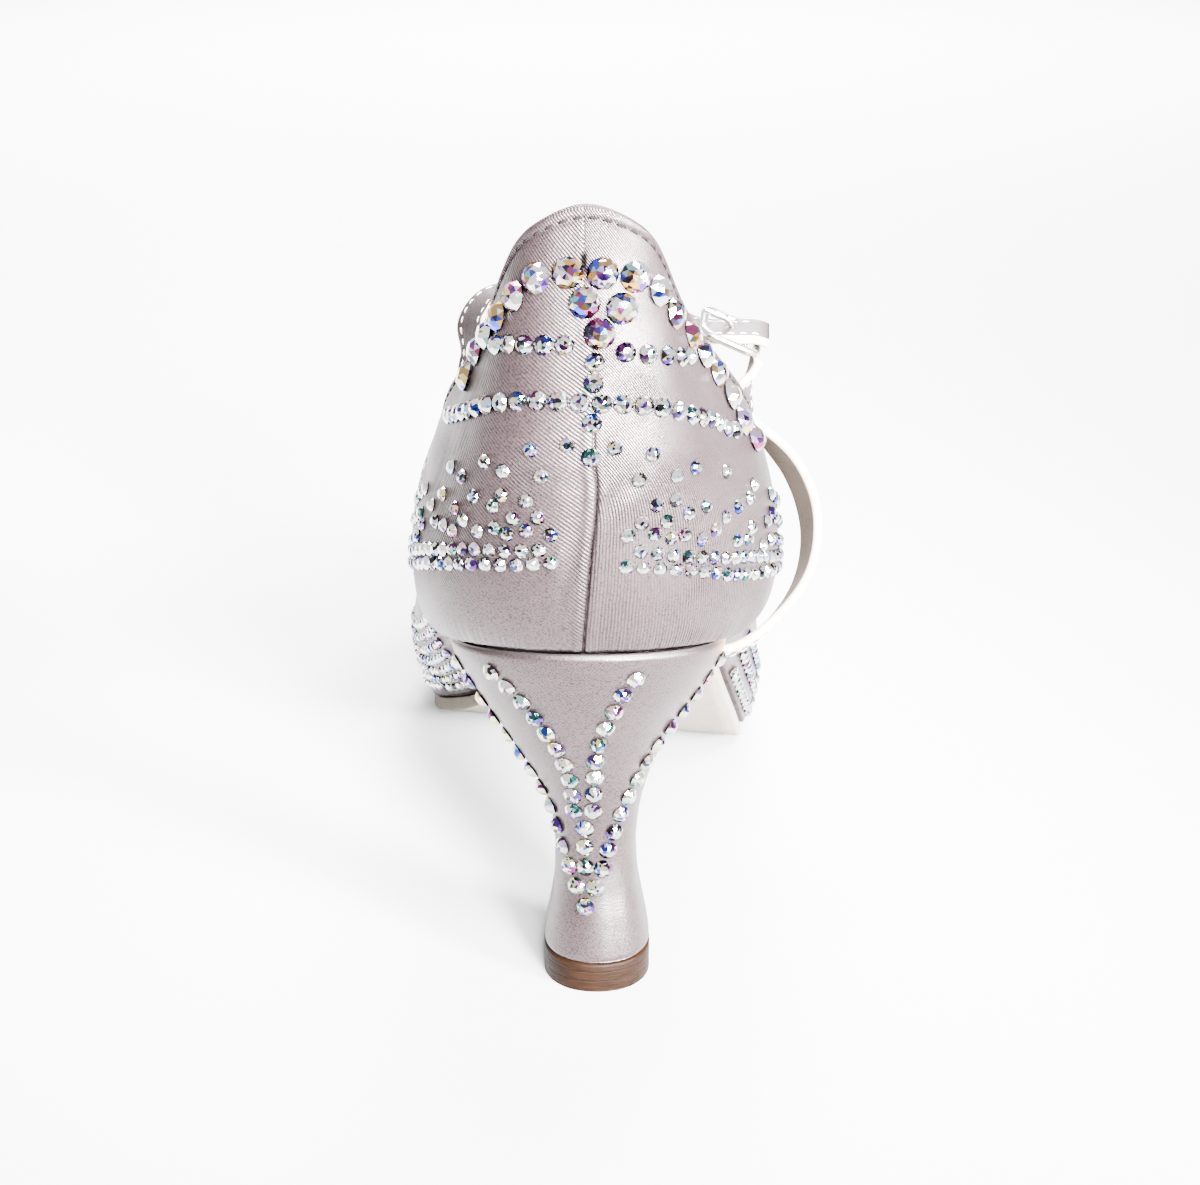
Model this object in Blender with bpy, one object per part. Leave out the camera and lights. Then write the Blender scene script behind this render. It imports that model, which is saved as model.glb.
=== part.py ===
"""Right court shoe for ballroom dancing: hollow upper with a tall counter, sole, insole,
flared heel with its tip, loose arch strap with buckle, and the largest crystals."""
import math

import bmesh
import bpy
import numpy as np
from mathutils import Matrix, Vector

MM = 0.001

# Toe points along +Y, the outer side of the foot along +X, up along +Z.
# Lengths run from the rearmost point of the counter.
SHOE_LENGTH = 224.5 * MM
BALL_WIDTH = 80.0 * MM
SEAT_HEIGHT = 72.0 * MM
TOE_SPRING = 10.0 * MM
BALL_SKEW = 0.21

# Upper.
COUNTER_HEIGHT = 76.4 * MM
UPPER_WALL = 1.6 * MM
LASTING_MARGIN = 5.5 * MM

# Sole parts and the gap left between laid-up pieces.
OUTSOLE_THICKNESS = 3.0 * MM
OUTSOLE_INSET = 0.5 * MM
INSOLE_THICKNESS = 2.5 * MM
SEAM_GAP = 0.35 * MM
INSOLE_INSET = UPPER_WALL + 2.5 * SEAM_GAP

# Heel.
SEAT_WIDTH = 52.0 * MM
BREAST_PLACE = 50.0 * MM
HEEL_TIP_WIDTH = 20.0 * MM
HEEL_TIP_DEPTH = 21.0 * MM
HEEL_TIP_HEIGHT = 5.8 * MM
HEEL_BACK_AT_TIP = 11.6 * MM

# Arch strap and buckle.
STRAP_WIDTH = 9.8 * MM
STRAP_THICKNESS = 1.8 * MM
STRAP_HOLE = 3.2 * MM
BUCKLE_BAR = 1.7 * MM
BUCKLE_LENGTH = 13.4 * MM
BUCKLE_WIDTH = 14.4 * MM
PRONG_BAR = 1.3 * MM

# Crystals.
CRYSTAL_DIAMETER = 5.0 * MM
CRYSTAL_HEIGHT = 2.0 * MM

# Mesh fineness.
AROUND = 96
WALL_STEPS = 9
MARGIN_STEPS = 2
SOLE_STEPS = 60
SOLE_ACROSS = 4
HEEL_AROUND = 40
STRAP_STEPS = 110
CRYSTAL_SIDES = 8

# Line along the middle of the sole top: place as a share of SHOE_LENGTH, height as a share
# of the drop from seat to forefoot, and a share of TOE_SPRING.
PROFILE_COLUMNS = ("along", "seat", "spring")
PROFILE = (
    (0.000, 1.000, 0.00),
    (0.111, 0.916, 0.00),
    (0.223, 0.819, 0.00),
    (0.267, 0.742, 0.00),
    (0.312, 0.648, 0.00),
    (0.356, 0.546, 0.00),
    (0.401, 0.437, 0.00),
    (0.445, 0.321, 0.00),
    (0.490, 0.203, 0.00),
    (0.534, 0.098, 0.00),
    (0.579, 0.029, 0.00),
    (0.632, 0.000, 0.00),
    (0.735, 0.000, 0.00),
    (0.802, 0.000, 0.10),
    (0.846, 0.000, 0.22),
    (0.891, 0.000, 0.40),
    (0.935, 0.000, 0.63),
    (1.000, 0.000, 1.00),
)

# Walls of the upper, one row a station, round from the back seam by the outer side to the toe
# and home by the inner side. edge_x and top_x are shares of BALL_WIDTH, edge_y and top_y of
# SHOE_LENGTH, rise of COUNTER_HEIGHT; facing is the plan direction that the wall looks to, in
# degrees; low_out and high_out push the wall out as shares of BALL_WIDTH, low_up and high_down
# as shares of the station's own height.
WALL_COLUMNS = ("turn", "edge_x", "edge_y", "top_x", "top_y", "rise", "facing",
                "low_out", "low_up", "high_out", "high_down")
WALLS = (
    (0.000, -0.018, 0.020, -0.020, 0.040, 1.000, -90.0, 0.085, 0.16, 0.100, 0.32),
    (0.020, 0.091, 0.025, 0.063, 0.043, 0.975, -72.0, 0.090, 0.16, 0.094, 0.30),
    (0.040, 0.190, 0.044, 0.122, 0.059, 0.925, -52.0, 0.110, 0.14, 0.090, 0.30),
    (0.062, 0.260, 0.073, 0.175, 0.091, 0.802, -32.0, 0.140, 0.10, 0.090, 0.32),
    (0.085, 0.298, 0.109, 0.248, 0.127, 0.688, -16.0, 0.165, 0.07, 0.105, 0.34),
    (0.110, 0.305, 0.149, 0.316, 0.169, 0.598, -6.0, 0.180, 0.06, 0.100, 0.35),
    (0.140, 0.306, 0.200, 0.352, 0.218, 0.518, 0.0, 0.170, 0.07, 0.062, 0.35),
    (0.190, 0.308, 0.281, 0.370, 0.307, 0.360, 0.0, 0.125, 0.14, 0.038, 0.35),
    (0.240, 0.328, 0.370, 0.394, 0.401, 0.370, -8.0, 0.090, 0.24, 0.031, 0.35),
    (0.290, 0.396, 0.463, 0.419, 0.494, 0.465, -9.0, 0.072, 0.28, 0.031, 0.35),
    (0.335, 0.430, 0.552, 0.406, 0.584, 0.504, -2.0, 0.060, 0.30, 0.050, 0.30),
    (0.375, 0.430, 0.650, 0.325, 0.668, 0.452, 6.0, 0.056, 0.38, 0.088, 0.18),
    (0.415, 0.388, 0.757, 0.194, 0.715, 0.412, 16.0, 0.052, 0.42, 0.160, 0.09),
    (0.455, 0.306, 0.864, 0.056, 0.743, 0.361, 38.0, 0.044, 0.50, 0.225, 0.08),
    (0.500, -0.075, 1.000, -0.062, 0.751, 0.266, 92.0, 0.030, 0.58, 0.330, 0.08),
    (0.545, -0.362, 0.891, -0.175, 0.741, 0.350, 143.0, 0.044, 0.50, 0.212, 0.08),
    (0.585, -0.450, 0.793, -0.288, 0.713, 0.408, 163.0, 0.052, 0.42, 0.148, 0.09),
    (0.625, -0.495, 0.699, -0.400, 0.668, 0.465, 174.0, 0.062, 0.38, 0.100, 0.16),
    (0.665, -0.494, 0.615, -0.475, 0.590, 0.520, 182.0, 0.075, 0.30, 0.075, 0.28),
    (0.710, -0.360, 0.534, -0.470, 0.508, 0.513, 192.0, 0.160, 0.12, 0.062, 0.35),
    (0.760, -0.245, 0.454, -0.425, 0.419, 0.525, 190.0, 0.200, 0.10, 0.048, 0.38),
    (0.810, -0.225, 0.350, -0.378, 0.312, 0.512, 182.0, 0.170, 0.10, 0.040, 0.36),
    (0.860, -0.310, 0.212, -0.352, 0.218, 0.533, 180.0, 0.140, 0.12, 0.055, 0.35),
    (0.890, -0.345, 0.152, -0.320, 0.169, 0.603, 186.0, 0.140, 0.06, 0.088, 0.35),
    (0.915, -0.338, 0.109, -0.265, 0.127, 0.688, 196.0, 0.130, 0.07, 0.095, 0.34),
    (0.938, -0.300, 0.073, -0.215, 0.091, 0.802, 212.0, 0.120, 0.10, 0.085, 0.32),
    (0.960, -0.230, 0.044, -0.163, 0.059, 0.925, 232.0, 0.100, 0.14, 0.090, 0.30),
    (0.980, -0.129, 0.025, -0.101, 0.043, 0.975, 252.0, 0.090, 0.16, 0.094, 0.30),
)

# Heel sections from the seat down. down is the share of the way from seat to tip; half_width
# and shift, the middle's place across, are shares of SEAT_WIDTH; back and front are places as
# shares of BREAST_PLACE; tilt is the share of the seat's own slope; squareness rounds (2) or
# squares (6) the breast corners. The last section takes its width, back and front from the tip.
HEEL_COLUMNS = ("down", "half_width", "shift", "back", "front", "tilt", "squareness")
HEEL_SECTIONS = (
    (0.00, 0.489, -0.030, 0.100, 0.992, 1.00, 6.0),
    (0.04, 0.476, -0.030, 0.108, 0.972, 0.98, 5.5),
    (0.13, 0.424, -0.030, 0.145, 0.925, 0.90, 5.0),
    (0.24, 0.348, -0.032, 0.192, 0.868, 0.75, 4.4),
    (0.35, 0.268, -0.028, 0.238, 0.805, 0.58, 4.0),
    (0.46, 0.199, -0.016, 0.282, 0.745, 0.40, 3.8),
    (0.57, 0.158, -0.006, 0.312, 0.700, 0.26, 3.6),
    (0.68, 0.146, -0.004, 0.320, 0.672, 0.15, 3.6),
    (0.78, 0.150, -0.002, 0.300, 0.660, 0.08, 3.6),
    (0.88, 0.168, 0.000, 0.266, 0.658, 0.03, 3.6),
    (0.96, 0.186, 0.000, 0.242, 0.655, 0.00, 3.6),
    (1.00, 0.192, 0.000, 0.236, 0.653, 0.00, 3.6),
)

# Path of the arch strap: from its inner end hung on the buckle, down the outer side, under the
# shank, up the inner side and over the instep to the buckle. across is a share of BALL_WIDTH,
# along of SHOE_LENGTH, level of COUNTER_HEIGHT above the sole's underside; lean and turn set the
# direction of the strap's width in degrees.
STRAP_COLUMNS = ("across", "along", "level", "lean", "turn")
STRAP_PATH = (
    (0.403, 0.3770, 0.9360, 11.0, -2.0),
    (0.390, 0.3765, 0.896, 4.0, -9.0),
    (0.376, 0.3735, 0.858, -4.0, -17.0),
    (0.368, 0.368, 0.806, -12.0, -22.0),
    (0.384, 0.361, 0.748, -22.0, -10.0),
    (0.436, 0.354, 0.680, -30.0, 4.0),
    (0.491, 0.339, 0.586, -33.0, 12.0),
    (0.520, 0.325, 0.499, -33.0, 15.0),
    (0.535, 0.303, 0.373, -33.0, 15.0),
    (0.514, 0.285, 0.228, -33.0, 14.0),
    (0.446, 0.272, 0.105, -33.0, 9.0),
    (0.356, 0.266, 0.020, -30.0, 3.0),
    (0.200, 0.264, -0.012, -29.0, 0.0),
    (0.000, 0.263, -0.012, -29.0, 0.0),
    (-0.180, 0.264, -0.012, -29.0, 0.0),
    (-0.310, 0.266, 0.014, -30.0, 0.0),
    (-0.405, 0.276, 0.110, -30.0, 0.0),
    (-0.445, 0.292, 0.235, -24.0, 5.0),
    (-0.443, 0.305, 0.390, -18.0, 12.0),
    (-0.420, 0.315, 0.520, -14.0, 18.0),
    (-0.372, 0.326, 0.660, -9.0, 26.0),
    (-0.323, 0.338, 0.790, -5.0, 32.0),
    (-0.302, 0.355, 0.915, -2.0, 33.0),
    (-0.308, 0.376, 1.035, 0.0, 28.0),
    (-0.272, 0.397, 1.130, 2.0, 16.0),
    (-0.170, 0.404, 1.165, 4.0, 6.0),
    (0.000, 0.402, 1.155, 8.0, 0.0),
    (0.180, 0.392, 1.075, 11.0, 0.0),
)

# Buckle frame: middle given like a strap row, its long way falling outward at BUCKLE_FALL.
BUCKLE_PLACE = (0.337, 0.385, 1.020)
BUCKLE_FALL = 23.8
BUCKLE_TIP_BACK = 11.0

# Strap through the buckle and prong, as places along and above the frame's own plane in
# shares of BUCKLE_LENGTH, from the instep outward.
THROUGH_COLUMNS = ("along", "above")
STRAP_THROUGH = ((0.44, -0.175), (0.0, 0.0), (-0.44, 0.175), (-0.53, 0.180))
PRONG_THROUGH = ((-0.31, -0.08), (-0.20, -0.16), (-0.07, -0.13), (0.02, 0.09),
                 (0.14, 0.16), (0.30, 0.155), (0.52, 0.155))

# Largest crystals on the counter: turn round the upper and share of the way up the wall, first
# the arc down the inner side, then down the outer side, then the three in the middle.
CRYSTAL_COLUMNS = ("turn", "height")
CRYSTALS = (
    (0.9924, 0.868),
    (0.9780, 0.873),
    (0.9665, 0.856),
    (0.9571, 0.843),
    (0.9479, 0.847),
    (0.9366, 0.868),
    (0.9284, 0.845),
    (0.0067, 0.866),
    (0.0209, 0.873),
    (0.0343, 0.869),
    (0.0433, 0.851),
    (0.0590, 0.880),
    (0.0687, 0.890),
    (0.0777, 0.885),
    (0.0840, 0.850),
    (0.0877, 0.794),
    (0.0960, 0.772),
    (0.9994, 0.811),
    (0.0141, 0.806),
    (0.0050, 0.756),
)


def column(table, names, name):
    """One named column of a table as an array."""
    place = names.index(name)
    return np.array([row[place] for row in table], dtype=float)


def smooth_line(xs, ys, x):
    """Rise-keeping cubic through the rows: flat where the rows are flat, no overshoot."""
    xs = np.asarray(xs, dtype=float)
    ys = np.asarray(ys, dtype=float)
    steps = np.diff(xs)
    slopes = np.diff(ys) / steps
    grads = np.zeros_like(ys)
    for i in range(1, len(xs) - 1):
        if slopes[i - 1] * slopes[i] > 0.0:
            w1 = 2.0 * steps[i] + steps[i - 1]
            w2 = steps[i] + 2.0 * steps[i - 1]
            grads[i] = (w1 + w2) / (w1 / slopes[i - 1] + w2 / slopes[i])
    grads[0] = slopes[0]
    grads[-1] = slopes[-1]
    x = np.clip(x, xs[0], xs[-1])
    k = np.clip(np.searchsorted(xs, x) - 1, 0, len(xs) - 2)
    return hermite(xs, ys, grads, k, x)


def hermite(xs, ys, grads, k, x):
    """Cubic on the span k from end values and slopes."""
    h = xs[k + 1] - xs[k]
    t = (x - xs[k]) / h
    a = (1.0 + 2.0 * t) * (1.0 - t) ** 2
    b = t * (1.0 - t) ** 2
    c = t * t * (3.0 - 2.0 * t)
    d = t * t * (t - 1.0)
    return a * ys[k] + b * h * grads[k] + c * ys[k + 1] + d * h * grads[k + 1]


class Loop:
    """Smooth closed curve through rows with places in [0, 1)."""

    def __init__(self, places, values):
        n = len(places)
        gaps = np.diff(np.append(places, 1.0 + places[0]))
        rises = np.diff(np.append(values, values[0])) / gaps
        system = np.zeros((n, n))
        right = np.zeros(n)
        for i in range(n):
            before = gaps[i - 1]
            after = gaps[i]
            system[i, i - 1] += 1.0 / before
            system[i, i] += 2.0 * (1.0 / before + 1.0 / after)
            system[i, (i + 1) % n] += 1.0 / after
            right[i] = 3.0 * (rises[i - 1] / before + rises[i] / after)
        grads = np.linalg.solve(system, right)
        self.xs = np.append(places, 1.0 + places[0])
        self.ys = np.append(values, values[0])
        self.grads = np.append(grads, grads[0])

    def __call__(self, u):
        u = u % 1.0
        k = min(max(int(np.searchsorted(self.xs, u, side="right")) - 1, 0), len(self.xs) - 2)
        return float(hermite(self.xs, self.ys, self.grads, k, u))


TURNS = column(WALLS, WALL_COLUMNS, "turn")
WALL_LINES = {
    name: Loop(TURNS, column(WALLS, WALL_COLUMNS, name))
    for name in WALL_COLUMNS[1:] if name != "facing"
}
FACING_LINE = Loop(TURNS, column(WALLS, WALL_COLUMNS, "facing") + 90.0 - 360.0 * TURNS)


def ease(low, high, value):
    """Smooth step from 0 to 1."""
    t = min(max((value - low) / (high - low), 0.0), 1.0)
    return t * t * (3.0 - 2.0 * t)


def sole_top(x, y):
    """Height of the sole top over a plan point; the ball line runs askew."""
    share = y / SHOE_LENGTH
    weight = ease(0.27, 0.49, share) * (1.0 - ease(0.76, 0.96, share))
    share += BALL_SKEW * weight * (x + 0.05 * BALL_WIDTH) / SHOE_LENGTH
    places = column(PROFILE, PROFILE_COLUMNS, "along")
    seat = smooth_line(places, column(PROFILE, PROFILE_COLUMNS, "seat"), share)
    spring = smooth_line(places, column(PROFILE, PROFILE_COLUMNS, "spring"), share)
    return OUTSOLE_THICKNESS + seat * (SEAT_HEIGHT - OUTSOLE_THICKNESS) + spring * TOE_SPRING


def sole_point(x, y, lift):
    """Point at a set distance square to the sole top."""
    step = 0.25 * MM
    dx = (sole_top(x + step, y) - sole_top(x - step, y)) / (2.0 * step)
    dy = (sole_top(x, y + step) - sole_top(x, y - step)) / (2.0 * step)
    normal = Vector((-dx, -dy, 1.0)).normalized()
    return Vector((x, y, sole_top(x, y))) + normal * lift


def facing(u):
    """Plan direction that the wall looks to at a place round the upper."""
    angle = math.radians(FACING_LINE(u) - 90.0 + 360.0 * (u % 1.0))
    return Vector((math.cos(angle), math.sin(angle), 0.0))


def feather(u, inset=0.0):
    """Plan point on the feather line, moved in by the inset."""
    x = WALL_LINES["edge_x"](u) * BALL_WIDTH
    y = WALL_LINES["edge_y"](u) * SHOE_LENGTH
    if inset == 0.0:
        return Vector((x, y, 0.0))
    step = 0.002
    ax = WALL_LINES["edge_x"](u + step) * BALL_WIDTH - WALL_LINES["edge_x"](u - step) * BALL_WIDTH
    ay = WALL_LINES["edge_y"](u + step) * SHOE_LENGTH - WALL_LINES["edge_y"](u - step) * SHOE_LENGTH
    inward = Vector((-ay, ax, 0.0)).normalized()
    return Vector((x, y, 0.0)) + inward * inset


def wall_point(u, t):
    """Outer face of the upper: u round from the back seam, t up from feather line to topline."""
    plan = feather(u)
    low = Vector((plan.x, plan.y, sole_top(plan.x, plan.y) + SEAM_GAP))
    rise = WALL_LINES["rise"](u) * COUNTER_HEIGHT
    high = Vector((WALL_LINES["top_x"](u) * BALL_WIDTH,
                   WALL_LINES["top_y"](u) * SHOE_LENGTH,
                   low.z + rise))
    out = facing(u)
    first = low + out * (WALL_LINES["low_out"](u) * BALL_WIDTH)
    first.z += WALL_LINES["low_up"](u) * rise
    second = high + out * (WALL_LINES["high_out"](u) * BALL_WIDTH)
    second.z -= WALL_LINES["high_down"](u) * rise
    s = 1.0 - t
    return low * s ** 3 + first * (3.0 * s * s * t) + second * (3.0 * s * t * t) + high * t ** 3


def wall_normal(u, t):
    """Outward direction of the upper's outer face."""
    step = 0.004
    low = max(t - step, 0.0)
    high = min(t + step, 1.0)
    along = wall_point(u + step, t) - wall_point(u - step, t)
    up = wall_point(u, high) - wall_point(u, low)
    return along.cross(up).normalized()


def material(name, colour, roughness, metallic=0.0):
    """Plain surface of one colour."""
    mat = bpy.data.materials.new(name)
    mat.use_nodes = True
    shader = mat.node_tree.nodes["Principled BSDF"]
    shader.inputs["Base Color"].default_value = (*colour, 1.0)
    shader.inputs["Roughness"].default_value = roughness
    shader.inputs["Metallic"].default_value = metallic
    mat.diffuse_color = (*colour, 1.0)
    return mat


def make_object(name, bm, mat, parent, smooth=True):
    """Named object from a bmesh, faces turned outward."""
    bmesh.ops.recalc_face_normals(bm, faces=bm.faces)
    mesh = bpy.data.meshes.new(name)
    for face in bm.faces:
        face.smooth = smooth
    bm.to_mesh(mesh)
    bm.free()
    mesh.materials.append(mat)
    obj = bpy.data.objects.new(name, mesh)
    bpy.context.scene.collection.objects.link(obj)
    obj.parent = parent
    return obj


def apply_modifiers(obj):
    """Fold the modifiers of an object into its mesh."""
    graph = bpy.context.evaluated_depsgraph_get()
    mesh = bpy.data.meshes.new_from_object(obj.evaluated_get(graph))
    obj.modifiers.clear()
    obj.data = mesh


def sharpen(obj, degrees):
    """Crisp edges where faces meet at more than an angle."""
    bm = bmesh.new()
    bm.from_mesh(obj.data)
    for edge in bm.edges:
        if len(edge.link_faces) == 2:
            edge.smooth = edge.calc_face_angle(0.0) < math.radians(degrees)
    bm.to_mesh(obj.data)
    bm.free()


def add_quads(bm, rows, closed):
    """Faces between rows of vertices."""
    count = len(rows[0])
    last = count if closed else count - 1
    for low, high in zip(rows[:-1], rows[1:]):
        for i in range(last):
            j = (i + 1) % count
            bm.faces.new((low[i], low[j], high[j], high[i]))


def build_upper(mat, parent):
    """Hollow upper: wall and lasting margin as one sheet, given its thickness inward."""
    bm = bmesh.new()
    rows = []
    turns = [i / AROUND for i in range(AROUND)]
    for step in range(MARGIN_STEPS):
        inset = LASTING_MARGIN * (1.0 - step / MARGIN_STEPS)
        ring = []
        for u in turns:
            plan = feather(u, inset)
            ring.append(bm.verts.new(sole_point(plan.x, plan.y, SEAM_GAP)))
        rows.append(ring)
    for step in range(WALL_STEPS + 1):
        t = step / WALL_STEPS
        rows.append([bm.verts.new(wall_point(u, t)) for u in turns])
    add_quads(bm, rows, True)
    obj = make_object("upper", bm, mat, parent)
    shell = obj.modifiers.new("wall", "SOLIDIFY")
    shell.thickness = UPPER_WALL
    shell.offset = -1.0
    shell.use_even_offset = True
    apply_modifiers(obj)
    sharpen(obj, 50.0)
    return obj


def sole_rows(inset, start, stop_back):
    """Plan points across the sole in rows from the back to the toe."""
    rows = []
    for i in range(SOLE_STEPS + 1):
        u = start + (0.5 - start) * i / SOLE_STEPS
        outer = feather(u, inset)
        inner = feather(1.0 - u, inset)
        rows.append((outer, inner))
    if stop_back is not None:
        rows = [(a, b) for a, b in rows if a.y > stop_back + 2.0 * MM and b.y > stop_back + 2.0 * MM]
        first_outer, first_inner = cut_ends(inset, stop_back)
        rows.insert(0, (first_outer, first_inner))
    return rows


def cut_ends(inset, place):
    """Outline points on both sides at a place along the shoe."""
    found = []
    for side in (1.0, -1.0):
        low = 0.02
        high = 0.4
        for _ in range(50):
            mid = 0.5 * (low + high)
            if feather(side * mid, inset).y < place:
                low = mid
            else:
                high = mid
        point = feather(side * low, inset)
        point.y = place
        found.append(point)
    return found


def build_plate(name, mat, parent, rows, low, high, pointed_back):
    """Curved plate between two distances square to the sole top."""
    bm = bmesh.new()
    sheets = []
    for lift in (low, high):
        sheet = []
        for k, (outer, inner) in enumerate(rows):
            single = k == len(rows) - 1 or (k == 0 and pointed_back)
            if single:
                plan = outer.lerp(inner, 0.5)
                sheet.append([bm.verts.new(sole_point(plan.x, plan.y, lift))])
                continue
            line = []
            for j in range(SOLE_ACROSS + 1):
                plan = outer.lerp(inner, j / SOLE_ACROSS)
                line.append(bm.verts.new(sole_point(plan.x, plan.y, lift)))
            sheet.append(line)
        sheets.append(sheet)
    for sheet in sheets:
        for near, far in zip(sheet[:-1], sheet[1:]):
            if len(near) == 1:
                for j in range(SOLE_ACROSS):
                    bm.faces.new((near[0], far[j], far[j + 1]))
            elif len(far) == 1:
                for j in range(SOLE_ACROSS):
                    bm.faces.new((near[j], near[j + 1], far[0]))
            else:
                for j in range(SOLE_ACROSS):
                    bm.faces.new((near[j], near[j + 1], far[j + 1], far[j]))
    rims = []
    for sheet in sheets:
        rim = [line[0] for line in sheet]
        rim += [line[-1] for line in reversed(sheet) if len(line) > 1]
        if not pointed_back:
            rim += [vert for vert in reversed(sheet[0][1:-1])]
        rims.append(rim)
    count = len(rims[0])
    for i in range(count):
        j = (i + 1) % count
        bm.faces.new((rims[0][i], rims[0][j], rims[1][j], rims[1][i]))
    obj = make_object(name, bm, mat, parent)
    sharpen(obj, 40.0)
    return obj


def rounded_d(count, half_width, back, front, squareness):
    """Plan ring with a round back and squarer front corners."""
    widest = back + min(half_width * 1.04, 0.55 * (front - back))
    ring = []
    for i in range(count):
        angle = 2.0 * math.pi * i / count
        side = math.sin(angle)
        along = -math.cos(angle)
        power = 2.0 / (2.15 if along < 0.0 else squareness)
        x = half_width * math.copysign(abs(side) ** power, side)
        reach = (widest - back) if along < 0.0 else (front - widest)
        y = widest + math.copysign(abs(along) ** power, along) * reach
        ring.append((x, y))
    return ring


def heel_levels():
    """Heel sections as half width, back, front, back height, slope share and squareness."""
    tip_top = HEEL_TIP_HEIGHT + SEAM_GAP
    levels = []
    for down, half_width, shift, back, front, tilt, squareness in HEEL_SECTIONS:
        if down == 1.0:
            half_width = 0.5 * HEEL_TIP_WIDTH / SEAT_WIDTH
            back = HEEL_BACK_AT_TIP / BREAST_PLACE
            front = (HEEL_BACK_AT_TIP + HEEL_TIP_DEPTH) / BREAST_PLACE
        levels.append((down, half_width * SEAT_WIDTH, shift * SEAT_WIDTH, back * BREAST_PLACE,
                       front * BREAST_PLACE, tilt, squareness, tip_top))
    return levels


def build_heel(mat, parent):
    """Heel block: tilted seat section drawn in to a narrow neck and flared to the tip."""
    bm = bmesh.new()
    rings = []
    for down, half_width, shift, back, front, tilt, squareness, tip_top in heel_levels():
        ring = []
        for x, y in rounded_d(HEEL_AROUND, half_width, back, front, squareness):
            x += shift
            seat = sole_top(x, y)
            level = sole_top(0.0, back)
            top = level + (seat - level) * tilt
            z = tip_top + (top - tip_top) * (1.0 - down)
            ring.append(bm.verts.new((x, y, z)))
        rings.append(ring)
    add_quads(bm, rings, True)
    for ring in (rings[0], rings[-1]):
        middle = bm.verts.new(sum((v.co for v in ring), Vector()) / len(ring))
        if ring is rings[0]:
            middle.co.z = sole_top(middle.co.x, middle.co.y)
        for i in range(len(ring)):
            bm.faces.new((ring[i], ring[(i + 1) % len(ring)], middle))
    obj = make_object("heel", bm, mat, parent)
    sharpen(obj, 50.0)
    return obj


def build_heel_tip(mat, parent):
    """Top piece under the heel."""
    bm = bmesh.new()
    ring = rounded_d(HEEL_AROUND, 0.5 * HEEL_TIP_WIDTH, HEEL_BACK_AT_TIP,
                     HEEL_BACK_AT_TIP + HEEL_TIP_DEPTH, HEEL_SECTIONS[-1][-1])
    low = [bm.verts.new((x, y, 0.0)) for x, y in ring]
    high = [bm.verts.new((x, y, HEEL_TIP_HEIGHT)) for x, y in ring]
    add_quads(bm, [low, high], True)
    bm.faces.new(low)
    bm.faces.new(high)
    obj = make_object("heel_tip", bm, mat, parent)
    sharpen(obj, 40.0)
    return obj


def strap_place(across, along, level):
    """Point from a strap row: level runs up from just under the sole."""
    y = along * SHOE_LENGTH
    under = sole_top(0.0, y) - 1.2 * (OUTSOLE_THICKNESS + STRAP_THICKNESS)
    return Vector((across * BALL_WIDTH, y, under + level * COUNTER_HEIGHT))


def buckle_axes():
    """Middle of the buckle with its long, wide and outward directions."""
    fall = math.radians(BUCKLE_FALL)
    tip = math.radians(BUCKLE_TIP_BACK)
    along = Vector((-math.cos(fall), 0.0, math.sin(fall)))
    wide = Vector((0.0, math.cos(tip), math.sin(tip)))
    wide = (wide - along * wide.dot(along)).normalized()
    return strap_place(*BUCKLE_PLACE), along, wide, wide.cross(along)


def spline(xs, ys, x):
    """Smooth open curve through rows, one value or vector a row."""
    ys = np.asarray(ys, dtype=float)
    grads = np.zeros_like(ys)
    last = len(xs) - 1
    for i in range(len(xs)):
        if i == 0 or i == last:
            a = max(i - 1, 0)
            b = min(i + 1, last)
            grads[i] = (ys[b] - ys[a]) / (xs[b] - xs[a])
            continue
        before = (ys[i] - ys[i - 1]) / (xs[i] - xs[i - 1])
        after = (ys[i + 1] - ys[i]) / (xs[i + 1] - xs[i])
        share = (xs[i + 1] - xs[i]) / (xs[i + 1] - xs[i - 1])
        grads[i] = before * share + after * (1.0 - share)
    k = min(max(int(np.searchsorted(xs, x, side="right")) - 1, 0), len(xs) - 2)
    return hermite(xs, ys, grads, k, x)


def strap_rows():
    """Middle line, width directions and running lengths of the strap."""
    points = []
    widths = []
    for across, along, level, lean, turn in STRAP_PATH:
        lean = math.radians(lean)
        turn = math.radians(turn)
        points.append(strap_place(across, along, level))
        widths.append((-math.sin(turn) * math.cos(lean), math.cos(turn) * math.cos(lean),
                       math.sin(lean)))
    middle, long_way, wide, out = buckle_axes()
    for along, above in STRAP_THROUGH:
        points.append(middle + long_way * (along * BUCKLE_LENGTH) + out * (above * BUCKLE_LENGTH))
        widths.append(tuple(wide))
    points = np.array([tuple(point) for point in points])
    steps = np.linalg.norm(np.diff(points, axis=0), axis=1)
    return points, np.array(widths), np.concatenate(([0.0], np.cumsum(steps)))


def band_outline(width, thickness):
    """Section of a band with eased edges."""
    half = 0.5 * width
    thick = 0.5 * thickness
    return ((-half, -0.4 * thick), (-half + 0.6 * thick, -thick), (half - 0.6 * thick, -thick),
            (half, -0.4 * thick), (half, 0.4 * thick), (half - 0.6 * thick, thick),
            (-half + 0.6 * thick, thick), (-half, 0.4 * thick))


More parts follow.
